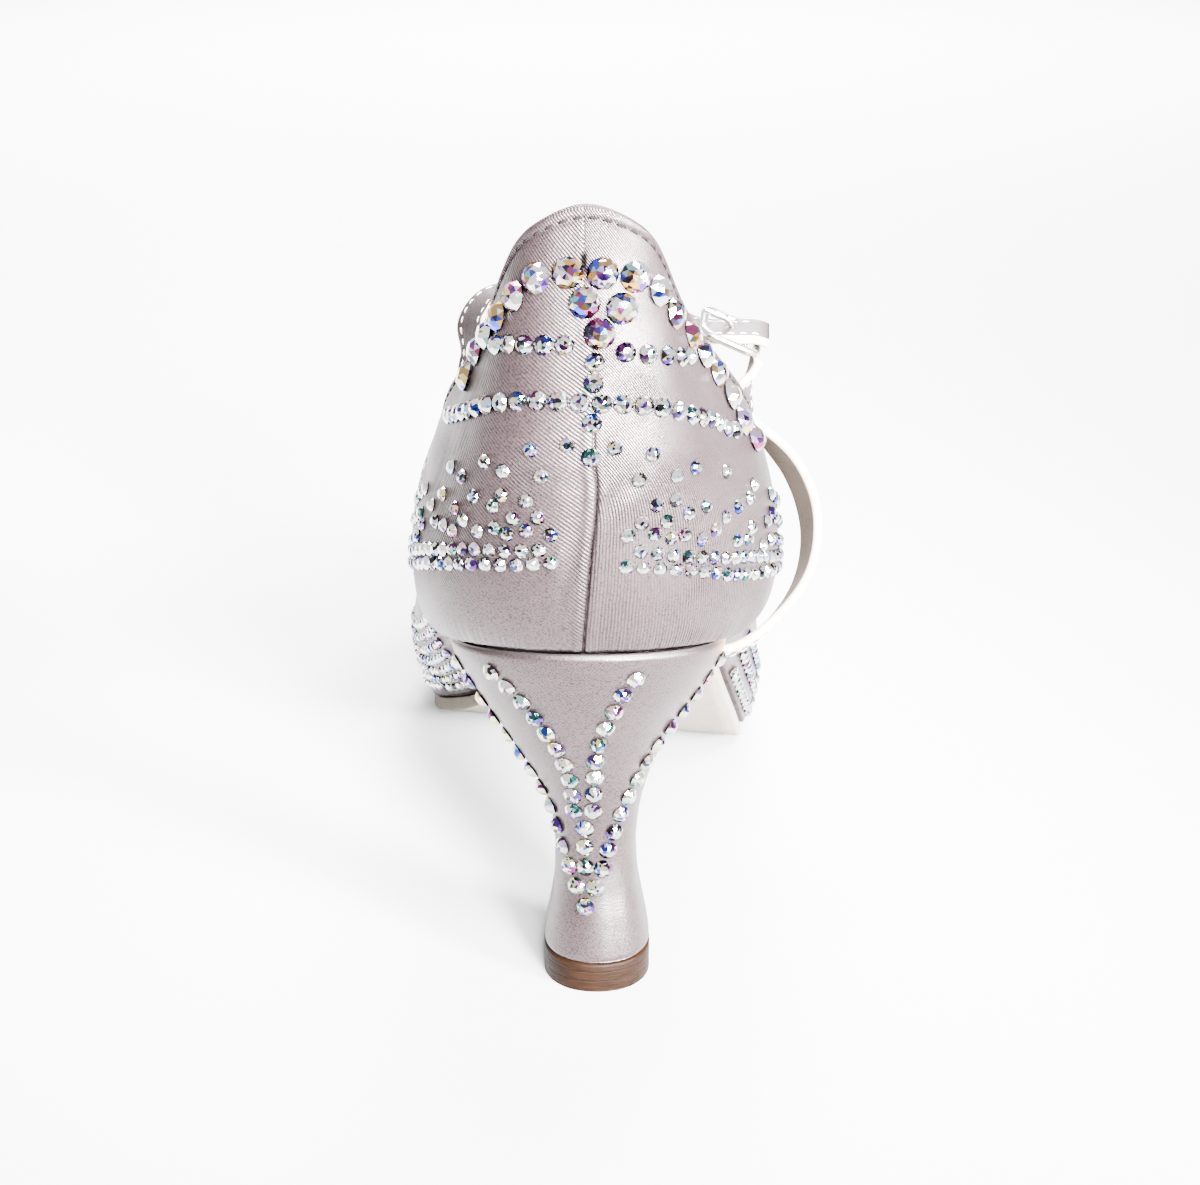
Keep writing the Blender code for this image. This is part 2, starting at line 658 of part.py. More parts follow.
def build_strap(mat, parent):
    """Band swept along its path, with the prong's hole cut through."""
    points, widths, lengths = strap_rows()
    bm = bmesh.new()
    rings = []
    outline = band_outline(STRAP_WIDTH, STRAP_THICKNESS)
    for i in range(STRAP_STEPS + 1):
        s = lengths[-1] * i / STRAP_STEPS
        middle = Vector(spline(lengths, points, s))
        ahead = Vector(spline(lengths, points, min(s + 0.2 * MM, lengths[-1])))
        behind = Vector(spline(lengths, points, max(s - 0.2 * MM, 0.0)))
        tangent = (ahead - behind).normalized()
        wide = Vector(spline(lengths, widths, s))
        wide = (wide - tangent * wide.dot(tangent)).normalized()
        out = wide.cross(tangent)
        rings.append([bm.verts.new(middle + wide * a + out * b) for a, b in outline])
    add_quads(bm, rings, True)
    bm.faces.new(rings[0])
    bm.faces.new(rings[-1])
    obj = make_object("arch_strap", bm, mat, parent)
    middle, long_way, wide, out = buckle_axes()
    bpy.ops.mesh.primitive_cylinder_add(vertices=12, radius=0.5 * STRAP_HOLE,
                                        depth=4.0 * STRAP_THICKNESS)
    cutter = bpy.context.active_object
    cutter.name = "prong_hole_cutter"
    turn = Matrix((wide, long_way, -out)).transposed().to_4x4()
    cutter.matrix_world = Matrix.Translation(middle) @ turn
    cutter.hide_render = True
    cutter.display_type = "WIRE"
    hole = obj.modifiers.new("prong_hole", "BOOLEAN")
    hole.operation = "DIFFERENCE"
    hole.solver = "EXACT"
    hole.object = cutter
    bpy.context.view_layer.update()
    apply_modifiers(obj)
    bpy.data.objects.remove(cutter)
    sharpen(obj, 60.0)
    return obj


def build_buckle(mat, parent):
    """Square frame with rounded corners, and the prong through the strap."""
    middle, long_way, wide, out = buckle_axes()
    bm = bmesh.new()
    outline = ((-0.5, -0.35), (-0.35, -0.5), (0.35, -0.5), (0.5, -0.35),
               (0.5, 0.35), (0.35, 0.5), (-0.35, 0.5), (-0.5, 0.35))
    rings = []
    corners = ((1, 1), (-1, 1), (-1, -1), (1, -1))
    radius = 0.12 * BUCKLE_LENGTH
    reach_long = 0.5 * BUCKLE_LENGTH - radius - 0.5 * BUCKLE_BAR
    reach_wide = 0.5 * BUCKLE_WIDTH - radius - 0.5 * BUCKLE_BAR
    for quarter, (a, b) in enumerate(corners):
        for step in range(4):
            angle = 0.5 * math.pi * (quarter + step / 3.0)
            outward = long_way * math.cos(angle) + wide * math.sin(angle)
            centre = middle + long_way * (a * reach_long) + wide * (b * reach_wide)
            centre = centre + outward * radius
            rings.append([bm.verts.new(centre + outward * (p * BUCKLE_BAR) + out * (q * BUCKLE_BAR))
                          for p, q in outline])
    rings.append(rings[0])
    add_quads(bm, rings, True)
    frame = make_object("buckle_frame", bm, mat, parent)
    sharpen(frame, 50.0)

    bm = bmesh.new()
    places = [middle + long_way * (a * BUCKLE_LENGTH) + out * (b * BUCKLE_LENGTH)
              for a, b in PRONG_THROUGH]
    rings = []
    for i, place in enumerate(places):
        tangent = (places[min(i + 1, len(places) - 1)] - places[max(i - 1, 0)]).normalized()
        normal = wide.cross(tangent)
        scale = 0.5 * PRONG_BAR * (0.7 if i == len(places) - 1 else 1.0)
        rings.append([bm.verts.new(place + wide * (scale * math.cos(math.pi * k / 4.0))
                                   + normal * (scale * math.sin(math.pi * k / 4.0)))
                      for k in range(8)])
    add_quads(bm, rings, True)
    bm.faces.new(rings[0])
    bm.faces.new(rings[-1])
    prong = make_object("buckle_prong", bm, mat, parent)
    sharpen(prong, 60.0)
    return frame, prong


def build_crystals(mat, parent):
    """Flat-backed round crystals standing just clear of the counter."""
    parts = []
    for number, (turn, height) in enumerate(CRYSTALS, 1):
        centre = wall_point(turn, height)
        out = wall_normal(turn, height)
        across = Vector((0.0, 0.0, 1.0)).cross(out).normalized()
        up = out.cross(across)
        highest = 0.0
        for dt in (-0.05, 0.0, 0.05):
            for du in (-0.008, 0.0, 0.008):
                near = wall_point(turn + du, height + dt) - centre
                flat = near - out * near.dot(out)
                share = min(1.0, 0.5 * CRYSTAL_DIAMETER / max(flat.length, 0.1 * MM))
                highest = max(highest, near.dot(out) * share)
        base = centre + out * (SEAM_GAP + highest)
        bm = bmesh.new()
        rings = []
        for radius, level in ((0.47, 0.0), (0.5, 0.12), (0.5, 0.22), (0.22, 1.0)):
            ring = []
            for k in range(CRYSTAL_SIDES):
                angle = 2.0 * math.pi * k / CRYSTAL_SIDES
                spoke = across * math.cos(angle) + up * math.sin(angle)
                ring.append(bm.verts.new(base + spoke * (radius * CRYSTAL_DIAMETER)
                                         + out * (level * CRYSTAL_HEIGHT)))
            rings.append(ring)
        add_quads(bm, rings, True)
        bm.faces.new(rings[0])
        bm.faces.new(rings[-1])
        parts.append(make_object(f"crystal_{number:02d}", bm, mat, parent, smooth=False))
    return parts


def main():
    for obj in list(bpy.data.objects):
        bpy.data.objects.remove(obj)
    root = bpy.data.objects.new("ballroom_shoe", None)
    bpy.context.scene.collection.objects.link(root)
    satin = material("satin", (0.45, 0.38, 0.42), 0.4)
    suede = material("suede", (0.42, 0.36, 0.30), 0.9)
    lining = material("lining", (0.62, 0.55, 0.48), 0.7)
    tip = material("tip_leather", (0.16, 0.07, 0.02), 0.6)
    silver = material("silver", (0.80, 0.80, 0.82), 0.2, 1.0)
    crystal = material("crystal", (0.85, 0.88, 0.92), 0.05)
    parts = [
        build_upper(satin, root),
        build_plate("outsole", suede, root, sole_rows(OUTSOLE_INSET, 0.0, BREAST_PLACE + SEAM_GAP),
                    -OUTSOLE_THICKNESS, 0.0, False),
        build_plate("insole", lining, root, sole_rows(INSOLE_INSET, 0.0, None),
                    UPPER_WALL + 2.0 * SEAM_GAP, UPPER_WALL + 2.0 * SEAM_GAP + INSOLE_THICKNESS, True),
        build_heel(satin, root),
        build_heel_tip(tip, root),
        build_strap(satin, root),
        *build_buckle(silver, root),
        *build_crystals(crystal, root),
    ]
    corners = np.array([tuple(vert.co) for obj in parts for vert in obj.data.vertices])
    low = corners.min(axis=0)
    high = corners.max(axis=0)
    root.location = (-0.5 * (low[0] + high[0]), -0.5 * (low[1] + high[1]), -low[2])
    bpy.context.view_layer.update()


main()
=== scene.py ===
"""Looks of a right court shoe for ballroom dancing: satin, crystals, stitches, sole and strap."""
import math
import random

import bpy
import numpy as np
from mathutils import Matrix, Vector


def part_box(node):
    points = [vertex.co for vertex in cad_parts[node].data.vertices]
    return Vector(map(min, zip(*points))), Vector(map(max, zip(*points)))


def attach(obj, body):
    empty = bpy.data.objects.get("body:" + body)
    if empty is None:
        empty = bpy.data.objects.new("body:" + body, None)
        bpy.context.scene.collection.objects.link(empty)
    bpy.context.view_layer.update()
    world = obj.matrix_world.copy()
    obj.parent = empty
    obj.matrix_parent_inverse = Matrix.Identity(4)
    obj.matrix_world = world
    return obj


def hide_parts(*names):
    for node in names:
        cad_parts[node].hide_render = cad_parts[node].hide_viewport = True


bl_info = {
    "name": "Ballroom court shoe",
    "version": (1, 0, 0),
    "blender": (4, 5, 0),
    "location": "View3D > Sidebar > Shoe",
    "description": "Dresses the solids of a satin court shoe for ballroom dancing",
    "category": "Object",
}

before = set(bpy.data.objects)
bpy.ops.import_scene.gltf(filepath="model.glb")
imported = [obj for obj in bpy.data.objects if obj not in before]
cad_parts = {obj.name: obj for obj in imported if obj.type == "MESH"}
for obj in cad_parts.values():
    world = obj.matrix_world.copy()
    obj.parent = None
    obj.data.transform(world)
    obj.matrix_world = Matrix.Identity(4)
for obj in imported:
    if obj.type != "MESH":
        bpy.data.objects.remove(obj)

MM = 0.001

# Form of the shoe: toe along +Y, outer side along +X, lengths from the rearmost point.
SHOE_LENGTH = 224.5 * MM
BALL_WIDTH = 80.0 * MM
SEAT_HEIGHT = 72.0 * MM
TOE_SPRING = 10.0 * MM
BALL_SKEW = 0.21
COUNTER_HEIGHT = 76.4 * MM
UPPER_WALL = 1.6 * MM
LASTING_MARGIN = 5.5 * MM
OUTSOLE_THICKNESS = 3.0 * MM
OUTSOLE_INSET = 0.5 * MM
INSOLE_THICKNESS = 2.5 * MM
SEAM_GAP = 0.35 * MM
INSOLE_INSET = UPPER_WALL + 2.5 * SEAM_GAP
SEAT_WIDTH = 52.0 * MM
BREAST_PLACE = 50.0 * MM
HEEL_TIP_WIDTH = 20.0 * MM
HEEL_TIP_DEPTH = 21.0 * MM
HEEL_TIP_HEIGHT = 5.8 * MM
HEEL_BACK_AT_TIP = 11.6 * MM
STRAP_WIDTH = 9.8 * MM
STRAP_THICKNESS = 1.8 * MM
STRAP_HOLE = 3.2 * MM
BUCKLE_BAR = 1.7 * MM
BUCKLE_LENGTH = 13.4 * MM
BUCKLE_WIDTH = 14.4 * MM
PRONG_BAR = 1.3 * MM

# Middle line of the sole top: share of the length, of the drop to the forefoot, of the spring.
PROFILE_COLUMNS = ("along", "seat", "spring")
PROFILE = (
    (0.000, 1.000, 0.00),
    (0.111, 0.916, 0.00),
    (0.223, 0.819, 0.00),
    (0.267, 0.742, 0.00),
    (0.312, 0.648, 0.00),
    (0.356, 0.546, 0.00),
    (0.401, 0.437, 0.00),
    (0.445, 0.321, 0.00),
    (0.490, 0.203, 0.00),
    (0.534, 0.098, 0.00),
    (0.579, 0.029, 0.00),
    (0.632, 0.000, 0.00),
    (0.735, 0.000, 0.00),
    (0.802, 0.000, 0.10),
    (0.846, 0.000, 0.22),
    (0.891, 0.000, 0.40),
    (0.935, 0.000, 0.63),
    (1.000, 0.000, 1.00),
)

# Walls of the upper, one row a station, from the back seam by the outer side round the toe.
WALL_COLUMNS = ("turn", "edge_x", "edge_y", "top_x", "top_y", "rise", "facing",
                "low_out", "low_up", "high_out", "high_down")
WALLS = (
    (0.000, -0.018, 0.020, -0.020, 0.040, 1.000, -90.0, 0.085, 0.16, 0.100, 0.32),
    (0.020, 0.091, 0.025, 0.063, 0.043, 0.975, -72.0, 0.090, 0.16, 0.094, 0.30),
    (0.040, 0.190, 0.044, 0.122, 0.059, 0.925, -52.0, 0.110, 0.14, 0.090, 0.30),
    (0.062, 0.260, 0.073, 0.175, 0.091, 0.802, -32.0, 0.140, 0.10, 0.090, 0.32),
    (0.085, 0.298, 0.109, 0.248, 0.127, 0.688, -16.0, 0.165, 0.07, 0.105, 0.34),
    (0.110, 0.305, 0.149, 0.316, 0.169, 0.598, -6.0, 0.180, 0.06, 0.100, 0.35),
    (0.140, 0.306, 0.200, 0.352, 0.218, 0.518, 0.0, 0.170, 0.07, 0.062, 0.35),
    (0.190, 0.308, 0.281, 0.370, 0.307, 0.360, 0.0, 0.125, 0.14, 0.038, 0.35),
    (0.240, 0.328, 0.370, 0.394, 0.401, 0.370, -8.0, 0.090, 0.24, 0.031, 0.35),
    (0.290, 0.396, 0.463, 0.419, 0.494, 0.465, -9.0, 0.072, 0.28, 0.031, 0.35),
    (0.335, 0.430, 0.552, 0.406, 0.584, 0.504, -2.0, 0.060, 0.30, 0.050, 0.30),
    (0.375, 0.430, 0.650, 0.325, 0.668, 0.452, 6.0, 0.056, 0.38, 0.088, 0.18),
    (0.415, 0.388, 0.757, 0.194, 0.715, 0.412, 16.0, 0.052, 0.42, 0.160, 0.09),
    (0.455, 0.306, 0.864, 0.056, 0.743, 0.361, 38.0, 0.044, 0.50, 0.225, 0.08),
    (0.500, -0.075, 1.000, -0.062, 0.751, 0.266, 92.0, 0.030, 0.58, 0.330, 0.08),
    (0.545, -0.362, 0.891, -0.175, 0.741, 0.350, 143.0, 0.044, 0.50, 0.212, 0.08),
    (0.585, -0.450, 0.793, -0.288, 0.713, 0.408, 163.0, 0.052, 0.42, 0.148, 0.09),
    (0.625, -0.495, 0.699, -0.400, 0.668, 0.465, 174.0, 0.062, 0.38, 0.100, 0.16),
    (0.665, -0.494, 0.615, -0.475, 0.590, 0.520, 182.0, 0.075, 0.30, 0.075, 0.28),
    (0.710, -0.360, 0.534, -0.470, 0.508, 0.513, 192.0, 0.160, 0.12, 0.062, 0.35),
    (0.760, -0.245, 0.454, -0.425, 0.419, 0.525, 190.0, 0.200, 0.10, 0.048, 0.38),
    (0.810, -0.225, 0.350, -0.378, 0.312, 0.512, 182.0, 0.170, 0.10, 0.040, 0.36),
    (0.860, -0.310, 0.212, -0.352, 0.218, 0.533, 180.0, 0.140, 0.12, 0.055, 0.35),
    (0.890, -0.345, 0.152, -0.320, 0.169, 0.603, 186.0, 0.140, 0.06, 0.088, 0.35),
    (0.915, -0.338, 0.109, -0.265, 0.127, 0.688, 196.0, 0.130, 0.07, 0.095, 0.34),
    (0.938, -0.300, 0.073, -0.215, 0.091, 0.802, 212.0, 0.120, 0.10, 0.085, 0.32),
    (0.960, -0.230, 0.044, -0.163, 0.059, 0.925, 232.0, 0.100, 0.14, 0.090, 0.30),
    (0.980, -0.129, 0.025, -0.101, 0.043, 0.975, 252.0, 0.090, 0.16, 0.094, 0.30),
)

# Heel sections from the seat down to the tip, as shares of SEAT_WIDTH and BREAST_PLACE.
HEEL_COLUMNS = ("down", "half_width", "shift", "back", "front", "tilt", "squareness")
HEEL_SECTIONS = (
    (0.00, 0.489, -0.030, 0.100, 0.992, 1.00, 6.0),
    (0.04, 0.476, -0.030, 0.108, 0.972, 0.98, 5.5),
    (0.13, 0.424, -0.030, 0.145, 0.925, 0.90, 5.0),
    (0.24, 0.348, -0.032, 0.192, 0.868, 0.75, 4.4),
    (0.35, 0.268, -0.028, 0.238, 0.805, 0.58, 4.0),
    (0.46, 0.199, -0.016, 0.282, 0.745, 0.40, 3.8),
    (0.57, 0.158, -0.006, 0.312, 0.700, 0.26, 3.6),
    (0.68, 0.146, -0.004, 0.320, 0.672, 0.15, 3.6),
    (0.78, 0.150, -0.002, 0.300, 0.660, 0.08, 3.6),
    (0.88, 0.168, 0.000, 0.266, 0.658, 0.03, 3.6),
    (0.96, 0.186, 0.000, 0.242, 0.655, 0.00, 3.6),
    (1.00, 0.192, 0.000, 0.232, 0.652, 0.00, 3.6),
)

# Path of the arch strap from its inner end on the buckle, under the shank and back.
# Its columns are across, along, level, lean and turn.
STRAP_PATH = (
    (0.403, 0.377, 0.936, 11.0, -2.0),
    (0.390, 0.3765, 0.896, 4.0, -9.0),
    (0.376, 0.3735, 0.858, -4.0, -17.0),
    (0.368, 0.368, 0.806, -12.0, -22.0),
    (0.384, 0.361, 0.748, -22.0, -10.0),
    (0.436, 0.354, 0.680, -30.0, 4.0),
    (0.491, 0.339, 0.586, -33.0, 12.0),
    (0.520, 0.325, 0.499, -33.0, 15.0),
    (0.535, 0.303, 0.373, -33.0, 15.0),
    (0.514, 0.285, 0.228, -33.0, 14.0),
    (0.446, 0.272, 0.105, -33.0, 9.0),
    (0.356, 0.266, 0.020, -30.0, 3.0),
    (0.200, 0.264, -0.012, -29.0, 0.0),
    (0.000, 0.263, -0.012, -29.0, 0.0),
    (-0.180, 0.264, -0.012, -29.0, 0.0),
    (-0.310, 0.266, 0.014, -30.0, 0.0),
    (-0.405, 0.276, 0.110, -30.0, 0.0),
    (-0.445, 0.292, 0.235, -24.0, 5.0),
    (-0.443, 0.305, 0.390, -18.0, 12.0),
    (-0.420, 0.315, 0.520, -14.0, 18.0),
    (-0.372, 0.326, 0.660, -9.0, 26.0),
    (-0.323, 0.338, 0.790, -5.0, 32.0),
    (-0.302, 0.355, 0.915, -2.0, 33.0),
    (-0.308, 0.376, 1.035, 0.0, 28.0),
    (-0.272, 0.397, 1.130, 2.0, 16.0),
    (-0.170, 0.404, 1.165, 4.0, 6.0),
    (0.000, 0.402, 1.155, 8.0, 0.0),
    (0.180, 0.392, 1.075, 11.0, 0.0),
)

# Buckle: its middle (across, along, level), its fall outward and its lean back in degrees, and
# how strap and prong run through it (shares of its length along and above its middle).
BUCKLE_PLACE = (0.337, 0.385, 1.020)
BUCKLE_FALL = 23.8
BUCKLE_TIP_BACK = 11.0
STRAP_THROUGH = ((0.44, -0.175), (0.0, 0.0), (-0.44, 0.175), (-0.53, 0.180))
PRONG_THROUGH = ((-0.31, -0.08), (-0.20, -0.16), (-0.07, -0.13), (0.02, 0.09),
                 (0.14, 0.16), (0.30, 0.155), (0.52, 0.155))

# Back seam: turn at a height, in rising order.
SEAM_COLUMNS = ("height", "turn")
SEAM = (
    (0.00, -0.0020),
    (0.14, -0.0010),
    (0.24, 0.0001),
    (0.34, 0.0015),
    (0.42, 0.0030),
    (0.47, 0.0034),
    (0.53, 0.0024),
    (0.67, 0.0026),
    (0.76, 0.0013),
    (0.83, -0.0010),
    (1.00, -0.0010),
)

# Creases worked in by the foot: a straight trough between two places on the wall.
# Its columns are the turn and height of both places, and width and depth in millimetres.
CREASES = (
    (0.205, 0.95, 0.262, 0.10, 5.0, 0.55),
    (0.245, 0.92, 0.292, 0.30, 4.0, 0.40),
    (0.318, 0.80, 0.352, 0.12, 4.5, 0.45),
    (0.352, 0.86, 0.384, 0.30, 3.5, 0.35),
    (0.398, 0.55, 0.436, 0.30, 4.0, 0.30),
    (-0.205, 0.96, -0.262, 0.22, 5.0, 0.55),
    (-0.250, 0.90, -0.300, 0.30, 4.0, 0.40),
    (-0.318, 0.80, -0.350, 0.14, 4.5, 0.45),
    (-0.360, 0.84, -0.392, 0.30, 3.5, 0.35),
    (-0.110, 0.30, -0.150, 0.75, 5.0, 0.30),
    (0.112, 0.25, 0.150, 0.78, 5.0, 0.30),
    (-0.030, 0.515, 0.001, 0.478, 2.2, 0.34),
    (0.004, 0.420, 0.022, 0.520, 2.6, 0.26),
    (-0.004, 0.380, -0.010, 0.180, 2.4, 0.22),
)

# Largest crystals on the counter (turn, height).
LARGE_CRYSTALS = (
    (-0.0076, 0.868), (-0.0220, 0.873), (-0.0335, 0.856), (-0.0429, 0.843), (-0.0521, 0.847),
    (-0.0634, 0.868), (-0.0716, 0.845), (0.0067, 0.866), (0.0209, 0.873), (0.0343, 0.869),
    (0.0433, 0.851), (0.0590, 0.880), (0.0687, 0.890), (0.0777, 0.885), (0.0840, 0.850),
    (0.0877, 0.794), (0.0960, 0.772), (-0.0006, 0.811), (0.0141, 0.806), (0.0050, 0.756),
)

# Rows of crystals on the upper, each along a smooth line through its places (turn, height).
LINE_ROWS = (
    ((-0.0082, 0.736), (-0.0162, 0.740), (-0.0245, 0.747), (-0.0322, 0.760), (-0.0427, 0.785),
     (-0.0492, 0.809)),
    ((0.0149, 0.726), (0.0220, 0.728), (0.0291, 0.734), (0.0357, 0.744), (0.0436, 0.764),
     (0.0519, 0.800)),
    ((-0.0859, 0.805), (-0.0706, 0.753), (-0.0570, 0.705), (-0.0468, 0.674), (-0.0307, 0.647),
     (-0.0141, 0.636), (0.0029, 0.630), (0.0183, 0.631), (0.0328, 0.636), (0.0419, 0.646),
     (0.0512, 0.669), (0.0608, 0.700), (0.0738, 0.727), (0.0853, 0.761)),
    ((0.0031, 0.703), (0.0026, 0.667)),
    ((0.0018, 0.594), (0.0014, 0.559), (0.0014, 0.530)),
)

# Rows of small crystals low on the counter, and those scattered above them (turn, height).
SMALL_ROWS = (
    ((-0.0165, 0.340), (-0.0287, 0.341), (-0.0416, 0.358), (-0.0563, 0.385), (-0.0824, 0.429),
     (-0.1080, 0.447), (-0.1450, 0.455)),
    ((-0.0124, 0.310), (-0.0250, 0.306), (-0.0366, 0.315), (-0.0499, 0.334), (-0.0640, 0.361),
     (-0.0850, 0.388), (-0.1080, 0.402), (-0.1400, 0.408)),
    ((0.0184, 0.338), (0.0292, 0.332), (0.0437, 0.343), (0.0564, 0.364), (0.0700, 0.392),
     (0.0950, 0.420), (0.1450, 0.450)),
    ((0.0132, 0.300), (0.0255, 0.298), (0.0370, 0.302), (0.0507, 0.312), (0.0637, 0.330),
     (0.0912, 0.372), (0.1400, 0.405)),
)
SCATTERED = (
    (-0.0069, 0.554), (-0.0203, 0.547), (-0.0392, 0.544), (-0.0306, 0.513), (-0.0160, 0.494),
    (-0.0630, 0.600), (-0.0519, 0.544), (-0.0669, 0.547), (-0.0434, 0.481), (-0.0305, 0.465),
    (-0.0776, 0.545), (-0.0541, 0.480), (-0.0339, 0.445), (-0.0212, 0.447), (-0.0860, 0.507),
    (-0.0479, 0.438), (-0.0259, 0.413), (-0.0169, 0.411), (-0.0700, 0.486), (-0.0613, 0.457),
    (-0.0538, 0.425), (-0.0401, 0.398), (-0.0331, 0.397), (-0.0280, 0.380), (-0.0211, 0.384),
    (-0.0124, 0.374), (0.0098, 0.548), (0.0237, 0.541), (0.0184, 0.488), (0.0329, 0.506),
    (0.0419, 0.538), (0.0620, 0.587), (0.0244, 0.440), (0.0318, 0.456), (0.0456, 0.466),
    (0.0660, 0.515), (0.0188, 0.400), (0.0279, 0.408), (0.0369, 0.433), (0.0565, 0.467),
    (0.0139, 0.372), (0.0234, 0.378), (0.0296, 0.372), (0.0348, 0.384), (0.0422, 0.384),
    (0.0493, 0.419), (0.0760, 0.560), (0.0820, 0.610), (0.0740, 0.480), (0.0880, 0.520),
    (0.0700, 0.440), (0.0810, 0.440), (0.0620, 0.420), (0.0900, 0.470), (0.0960, 0.560),
)

# Fields of crystals that thin out towards their far end: where they start and end, lowest and
# highest row, and the number of rows.
FIELDS = (
    (-0.262, -0.425, 0.10, 0.56, 7),
    (0.258, 0.425, 0.08, 0.36, 5),
    (-0.092, -0.150, 0.48, 0.62, 3),
    (0.100, 0.152, 0.48, 0.62, 3),
)

# Rows of crystals down the back of the heel: places are share of the way down and degrees.
HEEL_ROWS = (
    ((0.067, -43.0), (0.108, -37.0), (0.150, -32.0), (0.190, -28.0), (0.233, -24.5),
     (0.308, -19.0), (0.358, -17.0), (0.408, -16.5), (0.467, -19.0), (0.525, -23.0)),
    ((0.075, 19.0), (0.108, 15.5), (0.150, 13.0), (0.192, 11.0), (0.267, 7.0), (0.358, 4.0),
     (0.408, 3.0), (0.467, 1.0), (0.520, -1.0)),
    ((0.583, -12.0), (0.650, -13.0), (0.712, -13.0)),
    ((0.080, -79.0), (0.150, -77.0), (0.220, -75.0), (0.300, -73.0), (0.380, -71.0),
     (0.460, -68.0), (0.533, -66.0), (0.600, -59.0), (0.658, -51.0), (0.720, -38.0)),
    ((0.070, 80.0), (0.125, 77.0), (0.192, 71.0), (0.275, 60.0), (0.345, 53.0), (0.410, 48.0),
     (0.467, 42.0), (0.517, 35.0), (0.583, 26.0), (0.650, 17.0), (0.717, 9.0)),
)
HEEL_SINGLE = ((0.775, -26.0), (0.775, -1.0), (0.833, -13.0))


# ---- form -----------------------------------------------------------------------------------

def columns(table, names):
    """Columns of a table as arrays, by name."""
    return dict(zip(names, np.array(table, dtype=float).T))


def lay(x, y, z):
    """Points from their coordinates."""
    return np.stack(np.broadcast_arrays(x, y, z), axis=-1).astype(float)


def unit(vectors):
    """Vectors brought to length one."""
    return vectors / np.maximum(np.linalg.norm(vectors, axis=-1, keepdims=True), 1e-12)


def run_along(points):
    """Running length at each point of a line."""
    return np.concatenate(([0.0], np.cumsum(np.linalg.norm(np.diff(points, axis=0), axis=1))))


def bell(away, width):
    """Soft bump of height 1 at 0 that fades over a width."""
    return np.exp(-(away / width) ** 2)


def ease(low, high, value):
    """Smooth step from 0 to 1."""
    t = np.clip((np.asarray(value, dtype=float) - low) / (high - low), 0.0, 1.0)
    return t * t * (3.0 - 2.0 * t)


def hermite(xs, ys, grads, k, x):
    """Cubic on the span k from end values and slopes."""
    h = xs[k + 1] - xs[k]
    t = (x - xs[k]) / h
    if ys.ndim == 2:
        h = h[..., None]
        t = t[..., None]
    a = (1.0 + 2.0 * t) * (1.0 - t) ** 2
    b = t * (1.0 - t) ** 2
    c = t * t * (3.0 - 2.0 * t)
    d = t * t * (t - 1.0)
    return a * ys[k] + b * h * grads[k] + c * ys[k + 1] + d * h * grads[k + 1]


class Rise:
    """Cubic through open rows that never overshoots."""

    def __init__(self, xs, ys):
        self.xs = np.asarray(xs, dtype=float)
        self.ys = np.asarray(ys, dtype=float)
        steps = np.diff(self.xs)
        slopes = np.diff(self.ys) / steps
        self.grads = np.zeros_like(self.ys)
        for i in range(1, len(self.xs) - 1):
            if slopes[i - 1] * slopes[i] > 0.0:
                w1 = 2.0 * steps[i] + steps[i - 1]
                w2 = steps[i] + 2.0 * steps[i - 1]
                self.grads[i] = (w1 + w2) / (w1 / slopes[i - 1] + w2 / slopes[i])
        self.grads[0] = slopes[0]
        self.grads[-1] = slopes[-1]

    def __call__(self, x):
        x = np.clip(x, self.xs[0], self.xs[-1])
        k = np.clip(np.searchsorted(self.xs, x) - 1, 0, len(self.xs) - 2)
        return hermite(self.xs, self.ys, self.grads, k, x)


class Loop:
    """Smooth closed curve through rows with places in [0, 1)."""

    def __init__(self, places, values):
        n = len(places)
        gaps = np.diff(np.append(places, 1.0 + places[0]))
        rises = np.diff(np.append(values, values[0])) / gaps
        system = np.zeros((n, n))
        right = np.zeros(n)
        for i in range(n):
            before = gaps[i - 1]
            after = gaps[i]
            system[i, i - 1] += 1.0 / before
            system[i, i] += 2.0 * (1.0 / before + 1.0 / after)
            system[i, (i + 1) % n] += 1.0 / after
            right[i] = 3.0 * (rises[i - 1] / before + rises[i] / after)
        grads = np.linalg.solve(system, right)
        self.xs = np.append(places, 1.0 + places[0])
        self.ys = np.append(values, values[0])
        self.grads = np.append(grads, grads[0])

    def __call__(self, u):
        u = np.mod(u, 1.0)
        k = np.clip(np.searchsorted(self.xs, u, side="right") - 1, 0, len(self.xs) - 2)
        return hermite(self.xs, self.ys, self.grads, k, u)


class Path:
    """Smooth open curve through points or directions, by running length."""

    def __init__(self, xs, ys):
        self.xs = np.asarray(xs, dtype=float)
        self.ys = np.asarray(ys, dtype=float)
        self.grads = np.zeros_like(self.ys)
        last = len(self.xs) - 1
        for i in range(last + 1):
            if i in (0, last):
                a = max(i - 1, 0)
                b = min(i + 1, last)
                self.grads[i] = (self.ys[b] - self.ys[a]) / (self.xs[b] - self.xs[a])
                continue
            before = (self.ys[i] - self.ys[i - 1]) / (self.xs[i] - self.xs[i - 1])
            after = (self.ys[i + 1] - self.ys[i]) / (self.xs[i + 1] - self.xs[i])
            share = (self.xs[i + 1] - self.xs[i]) / (self.xs[i + 1] - self.xs[i - 1])
            self.grads[i] = before * share + after * (1.0 - share)

    def __call__(self, x):
        x = np.clip(x, self.xs[0], self.xs[-1])
        k = np.clip(np.searchsorted(self.xs, x, side="right") - 1, 0, len(self.xs) - 2)
        return hermite(self.xs, self.ys, self.grads, k, x)


